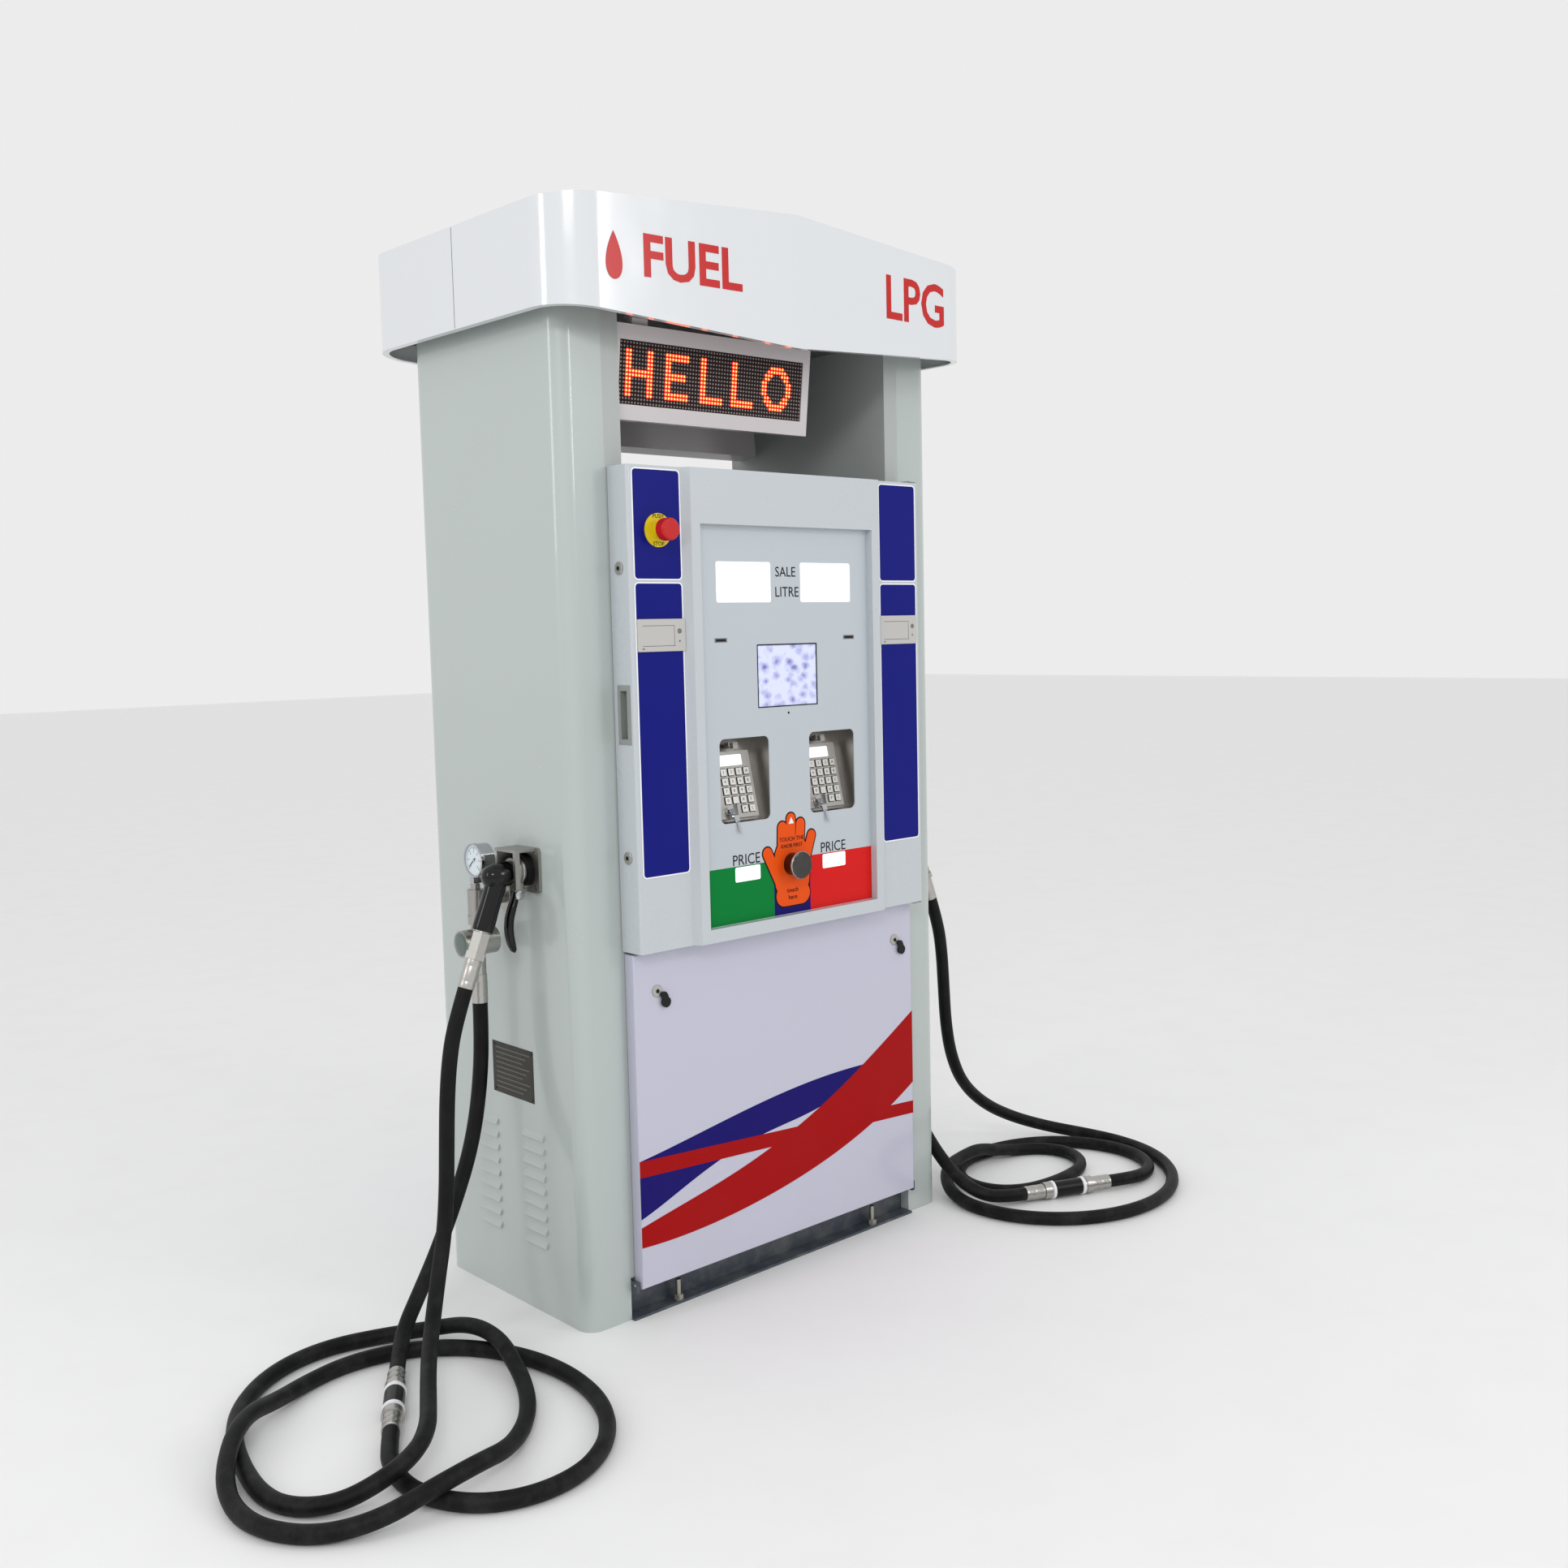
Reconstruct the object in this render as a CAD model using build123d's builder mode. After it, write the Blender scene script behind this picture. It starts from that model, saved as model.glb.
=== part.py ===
from build123d import *
import os
from math import cos, pi, radians, sin, tan

# LPG fuel dispenser, millimetres. X runs along the front, the front faces -Y, Z is up.
# The origin is the centre of the cabinet's footprint, on the floor.

# ---- cabinet ----
CABINET_WIDTH = 950.0
CABINET_DEPTH = 480.0
COLUMN_TOP = 1850.0
COLUMN_CORNER_RADIUS = 32.0
SHEET = 2.0
DOORWAY_HALF = 378.0        # half of the gap between the two side shells' front strips
POST_WIDTH = 38.0           # strip of the inner wall that frames the doorway
LIP_DEPTH = 25.0
SEAM_GAP = 1.5              # between a closed door's rim and the posts
BASE_HEIGHT = 75.0
BASE_WALL = 4.0
FLANGE_REACH = 250.0        # front edge of the base flange, from the centre
FLANGE_THICK = 5.0
WEB_OUTER = 218.0
ANCHOR_SPACING_X = 530.0
ANCHOR_SPACING_Y = 476.0
ANCHOR_STUD_R = 5.0
ANCHOR_HOLE_R = 6.0
ANCHOR_STUD_TOP = 44.0
BARRIER_Z = 700.0           # vapour barrier between the hydraulics and the electronics
RAIL_BOTTOM = 632.0         # lower edge of the barrier's turned-down rails

# ---- canopy ----
CANOPY_HALF_WIDTH = 522.0
CANOPY_HALF_DEPTH = 328.0
CANOPY_PEAK = 20.0          # how far the middle of the long sides stands out in plan
CANOPY_CORNER_RADIUS = 90.0
CANOPY_CREASE_RADIUS = 260.0
CANOPY_END_BOTTOM = 1820.0
CANOPY_END_TOP = 2000.0
CANOPY_MID_BOTTOM = 1790.0
CANOPY_MID_TOP = 2032.0
FASCIA_WALL = 2.5
FASCIA_LIP = 13.0

# ---- doors and lower panels ----
DOOR_HALF_WIDTH = 373.6
DOOR_BOTTOM = 694.7
DOOR_TOP = 1563.8
STRIP_FRONT = 298.0         # front plane of the door's side strips, from the centre
CENTRE_FRONT = 312.3        # front plane of the door's raised centre
CENTRE_HALF_WIDTH = 243.0
CENTRE_SLOPE = 11.0
RECESS_HALF_WIDTH = 222.0
RECESS_BOTTOM = 720.0
RECESS_TOP = 1464.0
FACE_PLANE = 297.0          # front of the face plate at the bottom of the recess
FACE_PLATE_THICK = 2.0
HINGE_X = 366.0
HINGE_Y = 289.0
HINGE_PIN_R = 4.0
HINGE_CLEARANCE = 0.05
PANEL_HALF_WIDTH = 369.0
PANEL_BOTTOM = 62.5
PANEL_TOP = 688.8
PANEL_FRONT = 266.4
PANEL_PIVOT_Z = 68.5
PANEL_PIVOT_Y = 252.0
DOOR_LOCK_Y = 268.5
DOOR_LOCK_HEIGHTS = (1384.0, 868.0)
LOCK_R = 9.5
LOCK_CLEARANCE = 0.05
PANEL_LOCK_X = 317.0
PANEL_LOCK_Z = 615.5
HANDLE_Y = (253.0, 289.0)
HANDLE_Z = (1072.0, 1178.0)

# ---- fittings on the doors ----
BLUE_PANEL_X = (258.0, 363.0)
BLUE_UPPER_Z = (1364.5, 1556.5)
BLUE_LOWER_Z = (833.0, 1357.0)
BLUE_THICK = 0.8
READER_X = (254.5, 362.0)
READER_Z = (1236.0, 1294.0)
READER_THICK = 4.5
WINDOW_X = (38.0, 175.0)
WINDOW_Z = (1322.5, 1398.0)
PRICE_X = (83.0, 146.0)
PRICE_Z = (798.0, 826.0)
PANE_THICK = 4.0
PANE_LAP = 6.0
SCREEN_HALF_WIDTH = 77.0
SCREEN_Z = (1125.0, 1242.0)
BOWL_X = 115.0
BOWL_HALF_WIDTH = 62.0
BOWL_Z = (911.0, 1070.0)
BOWL_WALL = 1.5
KEYPAD_TILT = 13.0          # degrees that the keypad's face looks up
KEYPAD_SIZE = (98.0, 128.0, 12.0)
KEY_SIZE = 13.0
KEY_PITCH_X = 19.0
KEY_PITCH_Z = 18.0
KEY_GAP = 0.4
KEY_PROUD = 2.5
KEY_DEPTH = 6.5
ESTOP_X = -309.0
ESTOP_Z = 1450.5
ESTOP_PLATE_R = 30.0
ESTOP_STEM_R = 6.0
ESTOP_HEAD_R = 20.0
ESTOP_CLEARANCE = 0.05
ESD_Z = 817.0

# ---- message boxes between the columns ----
LED_X = (-340.0, 145.0)
LED_CENTRE_Y = -218.5
LED_CENTRE_Z = 1736.5
LED_HEIGHT = 168.0
LED_DEPTH = 52.0
LED_TILT = 6.5
LED_MATRIX = (448.0, 112.0)

# ---- nozzle, boot and outlet on the left side; the right side is its mirror image ----
BOOT_Y = -100.0
BOOT_Z = 845.0
BOOT_FLANGE = 83.0
BOOT_FLANGE_THICK = 6.0
BOOT_ARM_GAP = 26.0
SEAT_R = 29.0
SEAT_BORE_R = 21.0
SEAT_GAP = 0.2              # between a loose insert and the piece that holds it
COUPLING_R = 24.0
SPIGOT_R = 20.3
GRIP_TURN = 21.8            # degrees that the grip leans out from the vertical
GRIP_TOP = (-541.0, 838.0)
GRIP_R = 18.0
SWIVEL_CLEARANCE = 0.08
FERRULE_R = 13.5
FERRULE_LENGTH = 47.0
TRIGGER_PIVOT = (-505.0, 801.0)
TRIGGER_PIN_R = 3.0
OUTLET_X = -540.0
OUTLET_Y = -20.0
OUTLET_Z = 785.0
OUTLET_PIPE_R = 11.0
HOSE_TOP_Z = 602.0
SIGHT_Z = 709.0
SIGHT_R = 25.0
SIGHT_HALF_LENGTH = 35.0
GAUGE_Z = 861.0
GAUGE_R = 31.5

# ---- hoses ----
HOSE_R = 14.0
BREAKAWAY_R = 20.0
HOSE_ARC_SHARE = 0.45       # how much of the shorter run each bend takes up
# Hoses lie on the floor in loose loops. Each route is a hand-chosen list of points.
LEFT_HOSE_ROUTE = [
    (-924.0, -330.0, 20.5), (-947.6, -368.3, 20.5), (-969.0, -407.0, 17.0), (-983.0, -474.0, 14.2),
    (-970.0, -542.0, 14.2), (-928.0, -604.0, 14.2), (-860.0, -638.0, 14.2), (-780.0, -638.0, 14.2),
    (-708.0, -602.0, 14.2), (-654.0, -542.0, 14.2), (-620.0, -470.0, 14.2), (-604.0, -390.0, 14.2),
    (-606.0, -308.0, 14.2), (-626.0, -228.0, 14.2), (-664.0, -155.0, 14.2), (-716.0, -100.0, 14.2),
    (-785.0, -62.0, 14.2), (-862.0, -50.0, 14.2), (-940.0, -66.0, 14.2), (-1010.0, -104.0, 22.0),
    (-1078.0, -154.0, 44.6), (-1136.0, -218.0, 44.6), (-1180.0, -292.0, 24.0), (-1196.0, -370.0, 14.2),
    (-1182.0, -448.0, 14.2), (-1134.0, -512.0, 14.2), (-1062.0, -550.0, 24.0), (-982.0, -562.0, 44.4),
    (-898.0, -548.0, 44.4), (-818.0, -508.0, 22.0), (-748.0, -448.0, 14.2), (-694.0, -372.0, 14.2),
    (-660.0, -288.0, 22.0), (-644.0, -204.0, 44.8), (-652.0, -120.0, 44.8), (-690.0, -44.0, 22.0),
    (-758.0, 8.0, 14.2), (-842.0, 34.0, 14.2), (-926.0, 26.0, 14.2), (-1002.0, -14.0, 14.2),
    (-1064.0, -78.0, 14.2), (-1108.0, -160.0, 14.2), (-1134.0, -254.0, 14.2), (-1148.0, -350.0, 14.2),
    (-1131.0, -415.0, 14.2), (-1083.0, -463.0, 20.0), (-1018.0, -480.0, 38.0), (-953.0, -463.0, 50.0),
    (-905.0, -415.0, 54.0), (-867.0, -350.0, 54.0), (-829.0, -284.0, 56.0), (-789.0, -219.0, 66.0),
    (-747.0, -162.0, 94.0), (-712.0, -124.0, 146.0), (-686.0, -106.0, 212.0), (-674.0, -101.0, 290.0),
    (-669.0, -100.0, 376.0), (-664.0, -100.0, 460.0), (-656.0, -100.0, 526.0),
]
LEFT_TAIL_ROUTE = [
    (-540.0, -20.0, 602.0), (-540.0, -20.0, 530.0), (-547.0, -20.5, 450.0), (-562.0, -22.0, 370.0),
    (-584.1, -23.1, 299.5), (-621.0, -26.1, 221.1), (-663.7, -33.4, 148.7), (-708.9, -46.7, 92.0),
    (-752.0, -70.5, 54.0), (-787.0, -108.2, 25.0), (-819.0, -160.0, 20.5),
]
RIGHT_HOSE_ROUTE = [
    (786.0, -473.0, 20.5), (834.0, -494.5, 20.5), (888.0, -497.0, 16.0), (938.0, -479.0, 14.2),
    (978.0, -440.0, 14.2), (1000.0, -386.0, 14.2), (1002.0, -326.0, 14.2), (982.0, -262.0, 14.2),
    (940.0, -204.0, 14.2), (880.0, -160.0, 14.2), (804.0, -134.0, 14.2), (720.0, -130.0, 14.2),
    (644.0, -156.0, 14.2), (588.0, -206.0, 14.2), (566.0, -268.0, 14.2), (580.0, -326.0, 14.2),
    (626.0, -364.0, 14.2), (690.0, -378.0, 14.2), (760.0, -378.0, 14.2), (828.0, -366.0, 14.2),
    (880.0, -326.0, 14.2), (900.0, -268.0, 14.2), (880.0, -212.0, 14.2), (830.0, -178.0, 14.2),
    (768.0, -168.0, 26.0), (700.0, -168.0, 46.0), (630.0, -176.0, 46.0), (558.0, -192.0, 44.0),
    (504.0, -240.0, 24.0), (476.0, -310.0, 14.2), (472.0, -388.0, 14.2), (496.0, -464.0, 14.2),
    (544.0, -528.0, 14.2), (608.0, -576.0, 14.2), (684.0, -604.0, 14.2), (768.0, -610.0, 14.2),
    (852.0, -592.0, 14.2), (928.0, -550.0, 14.2), (992.0, -488.0, 14.2), (1036.0, -408.0, 14.2),
    (1052.0, -318.0, 14.2), (1038.0, -228.0, 16.0), (988.0, -150.0, 28.0), (904.0, -104.0, 62.0),
    (816.0, -86.0, 112.0), (738.0, -86.0, 180.0), (690.0, -94.0, 258.0), (668.0, -98.0, 340.0),
    (660.0, -100.0, 430.0), (655.0, -100.0, 510.0),
]
RIGHT_TAIL_ROUTE = [
    (540.0, -20.0, 602.0), (540.0, -20.0, 530.0), (541.0, -26.0, 450.0), (538.0, -42.0, 368.0),
    (530.0, -72.0, 284.0), (516.0, -116.0, 206.0), (503.0, -168.0, 146.0), (496.0, -226.0, 94.0),
    (495.0, -282.0, 54.0), (510.0, -334.0, 28.0), (546.5, -367.0, 20.5), (594.0, -388.0, 20.5),
]

HALF_W = CABINET_WIDTH / 2
HALF_D = CABINET_DEPTH / 2
DOOR_BACK = HALF_D + SEAM_GAP


def block(x, y, z, mode=Mode.ADD):
    """A box between two corners, given as a pair of limits on each axis."""
    with Locations(((x[0] + x[1]) / 2, (y[0] + y[1]) / 2, (z[0] + z[1]) / 2)):
        Box(abs(x[1] - x[0]), abs(y[1] - y[0]), abs(z[1] - z[0]), mode=mode)


def rod(start, end, radius, mode=Mode.ADD, end_radius=None):
    """A round bar, or a cone when end_radius is given, between two points."""
    axis = Vector(*end) - Vector(*start)
    with Locations(Plane(origin=start, z_dir=axis).location):
        if end_radius is None:
            Cylinder(radius, axis.length, align=(Align.CENTER, Align.CENTER, Align.MIN), mode=mode)
        else:
            Cone(radius, end_radius, axis.length, align=(Align.CENTER, Align.CENTER, Align.MIN), mode=mode)


def hexagon(start, end, across_corners, mode=Mode.ADD):
    """A hexagonal bar between two points."""
    axis = Vector(*end) - Vector(*start)
    with BuildSketch(Plane(origin=start, z_dir=axis)) as section:
        RegularPolygon(across_corners, 6)
    extrude(section.sketch, amount=axis.length, mode=mode)


def turned(part):
    """The same piece on the rear, half a turn about the vertical axis."""
    return part.rotate(Axis.Z, 180)


def mirrored(part):
    """The same piece on the right-hand side."""
    return mirror(part, about=Plane.YZ)


def group(*parts):
    """Several separate solids kept together as one piece."""
    return Compound([solid for part in parts for solid in part.solids()])


def both_sides(*parts):
    """Left pieces and their mirror images as one group of solids."""
    return group(*parts, *[mirrored(part) for part in parts])


PIECES = {}


def keep(name, part):
    part.label = name
    PIECES[name] = part


# ================= base, columns and barrier =================
with BuildPart() as base_frame:
    block((-DOORWAY_HALF, DOORWAY_HALF), (-WEB_OUTER, WEB_OUTER), (0, BASE_HEIGHT))
    block((-DOORWAY_HALF + BASE_WALL, DOORWAY_HALF - BASE_WALL),
          (-WEB_OUTER + BASE_WALL, WEB_OUTER - BASE_WALL), (-1, BASE_HEIGHT - BASE_WALL), Mode.SUBTRACT)
    block((-HALF_W + SHEET, HALF_W - SHEET),
          (-HALF_D + COLUMN_CORNER_RADIUS, HALF_D - COLUMN_CORNER_RADIUS), (BASE_HEIGHT - BASE_WALL, BASE_HEIGHT))
    for side in (-1, 1):
        block((-DOORWAY_HALF, DOORWAY_HALF), (side * WEB_OUTER, side * FLANGE_REACH), (0, FLANGE_THICK))
        for end in (-1, 1):
            ear = (end * (PANEL_HALF_WIDTH + 2), end * DOORWAY_HALF)
            block(ear, (side * (WEB_OUTER - 1), side * (PANEL_PIVOT_Y + 7)), (PANEL_PIVOT_Z - 14, BASE_HEIGHT))
            rod((end * PANEL_HALF_WIDTH, side * PANEL_PIVOT_Y, PANEL_PIVOT_Z),
                (end * (DOORWAY_HALF + 1), side * PANEL_PIVOT_Y, PANEL_PIVOT_Z),
                HINGE_PIN_R / 2 + 1 + HINGE_CLEARANCE, Mode.SUBTRACT)
    with Locations((0, 0, FLANGE_THICK / 2)):
        with GridLocations(ANCHOR_SPACING_X, ANCHOR_SPACING_Y, 2, 2):
            Cylinder(ANCHOR_HOLE_R, FLANGE_THICK * 2, mode=Mode.SUBTRACT)
    for x in (-90.0, 90.0):
        rod((x, 0, BASE_HEIGHT - BASE_WALL - 1), (x, 0, BASE_HEIGHT + 1), 34, Mode.SUBTRACT)
keep("base_frame", base_frame.part)

with BuildPart() as anchor_bolts:
    with GridLocations(ANCHOR_SPACING_X, ANCHOR_SPACING_Y, 2, 2):
        Cylinder(ANCHOR_STUD_R, ANCHOR_STUD_TOP, align=(Align.CENTER, Align.CENTER, Align.MIN))
    with BuildSketch(Plane.XY.offset(FLANGE_THICK)):
        with GridLocations(ANCHOR_SPACING_X, ANCHOR_SPACING_Y, 2, 2):
            Circle(ANCHOR_STUD_R * 2)
    extrude(amount=2)
    with BuildSketch(Plane.XY.offset(FLANGE_THICK + 2)):
        with GridLocations(ANCHOR_SPACING_X, ANCHOR_SPACING_Y, 2, 2):
            RegularPolygon(ANCHOR_STUD_R * 1.9, 6)
    extrude(amount=ANCHOR_STUD_R * 1.6)
keep("anchor_bolts", anchor_bolts.part)

LOUVRE_LENGTH = 68.0
LOUVRE_RISE = 5.5
LOUVRE_PITCH = 25.7
LOUVRE_ROWS = 9
LOUVRE_BOTTOM = 130.0
LOUVRE_COLUMNS = (-84.0, 71.0)
with BuildPart() as louvre:
    with BuildSketch(Plane.XZ.offset(-LOUVRE_LENGTH / 2)):
        Polygon((0, 0), (-LOUVRE_RISE, 0), (-LOUVRE_RISE * 0.7, 5), (0, 12), align=None)
    extrude(amount=LOUVRE_LENGTH)
    with BuildSketch(Plane.XZ.offset(-LOUVRE_LENGTH / 2 + SHEET)):
        Polygon((SHEET, -1), (1.2 - LOUVRE_RISE, -1), (1.2 - LOUVRE_RISE * 0.7, 4), (SHEET, 8), align=None)
    extrude(amount=LOUVRE_LENGTH - 2 * SHEET, mode=Mode.SUBTRACT)

with BuildPart() as left_side_shell:
    with BuildSketch():
        block_centre = -(HALF_W + DOORWAY_HALF) / 2
        with Locations((block_centre, 0)):
            Rectangle(HALF_W - DOORWAY_HALF, CABINET_DEPTH)
        fillet(vertices().group_by(Axis.X)[0], COLUMN_CORNER_RADIUS)
        with BuildSketch(mode=Mode.SUBTRACT):
            with Locations((block_centre, 0)):
                Rectangle(HALF_W - DOORWAY_HALF - 2 * SHEET, CABINET_DEPTH - 2 * SHEET)
            fillet(vertices().group_by(Axis.X)[0], COLUMN_CORNER_RADIUS - SHEET)
        with Locations((-DOORWAY_HALF, 0)):
            Rectangle(4 * SHEET, CABINET_DEPTH - 2 * LIP_DEPTH, mode=Mode.SUBTRACT)
    extrude(amount=COLUMN_TOP)
    for row in range(LOUVRE_ROWS):
        for y in LOUVRE_COLUMNS:
            z = LOUVRE_BOTTOM + row * LOUVRE_PITCH
            block((-HALF_W - 1, -HALF_W + SHEET + 1), (y - LOUVRE_LENGTH / 2 + SHEET, y + LOUVRE_LENGTH / 2 - SHEET),
                  (z, z + 8), Mode.SUBTRACT)
            with Locations((-HALF_W, y, z)):
                add(louvre.part)
    rod((-HALF_W - 1, OUTLET_Y, OUTLET_Z), (-HALF_W + SHEET + 1, OUTLET_Y, OUTLET_Z),
        OUTLET_PIPE_R + 1, Mode.SUBTRACT)
keep("left_side_shell", left_side_shell.part)
keep("right_side_shell", mirrored(left_side_shell.part))

INNER_X = DOORWAY_HALF - POST_WIDTH
BRACKET_THICK = 3.0
LOWER_BRACKET_Z = DOOR_BOTTOM - 1.4 - BRACKET_THICK
UPPER_BRACKET_Z = DOOR_TOP + 1.4
PIN_LENGTH = 11.0
CAM_THICK = 3.0
CAM_REACH = 34.0
CAM_PLANE_X = -352.0        # where the front door's cams turn
with BuildPart() as right_inner_wall:
    block((INNER_X, INNER_X + SHEET), (-HALF_D, HALF_D), (BASE_HEIGHT, COLUMN_TOP))
    for side in (-1, 1):
        block((INNER_X, DOORWAY_HALF), (side * HALF_D, side * (HALF_D - SHEET)), (BASE_HEIGHT + 5, COLUMN_TOP))
    for z in (LOWER_BRACKET_Z, UPPER_BRACKET_Z):
        block((HINGE_X - 12, HINGE_X + 10), (-HALF_D + 12, -HINGE_Y), (z, z + BRACKET_THICK))
        rod((HINGE_X - 1, -HINGE_Y, z), (HINGE_X - 1, -HINGE_Y, z + BRACKET_THICK), 11)
    rod((HINGE_X, -HINGE_Y, LOWER_BRACKET_Z), (HINGE_X, -HINGE_Y, LOWER_BRACKET_Z + BRACKET_THICK + PIN_LENGTH),
        HINGE_PIN_R)
    rod((HINGE_X, -HINGE_Y, UPPER_BRACKET_Z - PIN_LENGTH), (HINGE_X, -HINGE_Y, UPPER_BRACKET_Z + BRACKET_THICK),
        HINGE_PIN_R)
    for z in DOOR_LOCK_HEIGHTS:
        block((-CAM_PLANE_X - 5, -CAM_PLANE_X + 5), (HALF_D - 3, HALF_D + 1), (z - CAM_REACH - 4, z + 12),
              Mode.SUBTRACT)
    rod((INNER_X - 1, OUTLET_Y, 500), (INNER_X + SHEET + 1, OUTLET_Y, 500), OUTLET_PIPE_R + 1, Mode.SUBTRACT)
with BuildPart() as left_inner_wall:
    add(turned(right_inner_wall.part))
    rod((-INNER_X + 1, OUTLET_Y, 500), (-INNER_X - SHEET - 1, OUTLET_Y, 500), OUTLET_PIPE_R + 1, Mode.SUBTRACT)
with BuildPart() as inner_walls:
    add(right_inner_wall.part)
    add(left_inner_wall.part)
keep("inner_walls", inner_walls.part)

with BuildPart() as vapour_barrier:
    block((-INNER_X, INNER_X), (-HALF_D + SHEET, HALF_D - SHEET), (BARRIER_Z, BARRIER_Z + SHEET))
    for side in (-1, 1):
        block((-INNER_X, INNER_X), (side * (HALF_D - SHEET), side * (HALF_D - 2 * SHEET)),
              (RAIL_BOTTOM, BARRIER_Z + SHEET))
keep("vapour_barrier", vapour_barrier.part)


# ================= canopy =================
def canopy_plan(inset):
    """The canopy seen from above: long sides that come to a soft point, moved in by inset."""
    with BuildSketch() as plan:
        Polygon((-CANOPY_HALF_WIDTH, -CANOPY_HALF_DEPTH), (0, -CANOPY_HALF_DEPTH - CANOPY_PEAK),
                (CANOPY_HALF_WIDTH, -CANOPY_HALF_DEPTH), (CANOPY_HALF_WIDTH, CANOPY_HALF_DEPTH),
                (0, CANOPY_HALF_DEPTH + CANOPY_PEAK), (-CANOPY_HALF_WIDTH, CANOPY_HALF_DEPTH), align=None)
        corners = [v for v in plan.vertices() if abs(v.X) > 1]
        fillet(corners, CANOPY_CORNER_RADIUS)
        crease = [v for v in plan.vertices() if abs(v.X) < 1]
        fillet(crease, CANOPY_CREASE_RADIUS)
        if inset:
            offset(amount=-inset, kind=Kind.ARC, mode=Mode.REPLACE)
    return plan.sketch


def canopy_band(bottom_rise, top_drop, from_top=None, from_bottom=None):
    """The canopy's elevation, higher in the middle, as a solid across the whole depth.

    from_top or from_bottom keep only a thin band along that edge.
    """
    low_end = CANOPY_END_BOTTOM + bottom_rise
    low_mid = CANOPY_MID_BOTTOM + bottom_rise
    top_end = CANOPY_END_TOP - top_drop
    top_mid = CANOPY_MID_TOP - top_drop
    if from_top is not None:
        low_end = top_end - from_top
        low_mid = top_mid - from_top
    if from_bottom is not None:
        top_end = low_end + from_bottom
        top_mid = low_mid + from_bottom
    reach = CANOPY_HALF_WIDTH + 5
    slope_low = (low_mid - low_end) / CANOPY_HALF_WIDTH * 5
    slope_top = (top_mid - top_end) / CANOPY_HALF_WIDTH * 5
    with BuildPart() as band:
        with BuildSketch(Plane.XZ.offset(-2 * CANOPY_HALF_DEPTH)):
            Polygon((-reach, low_end - slope_low), (0, low_mid), (reach, low_end - slope_low),
                    (reach, top_end - slope_top), (0, top_mid), (-reach, top_end - slope_top), align=None)
            middle = [v for v in vertices() if abs(v.X) < 1]
            fillet(middle, CANOPY_CREASE_RADIUS)
        extrude(amount=4 * CANOPY_HALF_DEPTH)
    return band.part


def canopy_ring(outer_inset, inner_inset, band):
    """A ring in plan between two insets, cut to a band in elevation."""
    with BuildPart() as ring:
        with BuildSketch(Plane.XY.offset(CANOPY_MID_BOTTOM - 20)):
            add(canopy_plan(outer_inset))
            if inner_inset is not None:
                add(canopy_plan(inner_inset), mode=Mode.SUBTRACT)
        extrude(amount=CANOPY_MID_TOP - CANOPY_MID_BOTTOM + 40)
        add(band, mode=Mode.INTERSECT)
    return ring.part


with BuildPart() as canopy_skirt:
    add(canopy_ring(0, FASCIA_WALL, canopy_band(0, 0)))
    add(canopy_ring(FASCIA_WALL / 2, FASCIA_LIP, canopy_band(0, 0, from_bottom=FASCIA_WALL)))
    add(canopy_ring(FASCIA_WALL / 2, FASCIA_LIP, canopy_band(0, 0, from_top=FASCIA_WALL)))
with BuildPart() as canopy_front_fascia:
    add(canopy_skirt.part)
    split(bisect_by=Plane.XZ, keep=Keep.TOP)
keep("canopy_front_fascia", canopy_front_fascia.part)
with BuildPart() as canopy_rear_fascia:
    add(canopy_skirt.part)
    split(bisect_by=Plane.XZ, keep=Keep.BOTTOM)
keep("canopy_rear_fascia", canopy_rear_fascia.part)

with BuildPart() as canopy_soffit:
    with BuildSketch(Plane.XY.offset(COLUMN_TOP)):
        add(canopy_plan(FASCIA_WALL))
    extrude(amount=SHEET)
    for side in (-1, 1):
        block((-HALF_W + 40, HALF_W - 40), (side * 150, side * 110), (COLUMN_TOP + SHEET, COLUMN_TOP + 60))
        block((-HALF_W + 42, HALF_W - 42), (side * 148, side * 112), (COLUMN_TOP + SHEET, COLUMN_TOP + 58),
              Mode.SUBTRACT)
keep("canopy_soffit", canopy_soffit.part)

with BuildPart() as canopy_roof:
    add(canopy_ring(FASCIA_WALL, None, canopy_band(0, FASCIA_WALL, from_top=SHEET)))
keep("canopy_roof", canopy_roof.part)

# ================= message boxes =================
LED_TURN = radians(LED_TILT)
led_plane = Plane(origin=((LED_X[0] + LED_X[1]) / 2, LED_CENTRE_Y, LED_CENTRE_Z), x_dir=(1, 0, 0),
                  z_dir=(0, -cos(LED_TURN), -sin(LED_TURN)))
LED_WIDTH = LED_X[1] - LED_X[0]
LED_RECESS = 5.0
with BuildPart(led_plane) as led_box:
    with Locations((0, 0, -LED_DEPTH / 2)):
        Box(LED_WIDTH, LED_HEIGHT, LED_DEPTH)
    with Locations((0, 0, -LED_RECESS / 2)):
        Box(LED_MATRIX[0] + 1, LED_MATRIX[1] + 1, LED_RECESS, mode=Mode.SUBTRACT)
    with Locations((0, 0, -LED_DEPTH / 2 - LED_RECESS / 2)):
        Box(LED_MATRIX[0] - 8, LED_MATRIX[1] - 8, LED_DEPTH - LED_RECESS - 3, mode=Mode.SUBTRACT)
    for x in (-0.36, 0.36):
        with Locations((x * LED_WIDTH, LED_HEIGHT / 2 + 6, -LED_DEPTH / 2)):
            Box(36, 14, LED_DEPTH * 0.6)
    split(bisect_by=Plane.XY.offset(COLUMN_TOP), keep=Keep.BOTTOM)
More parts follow.
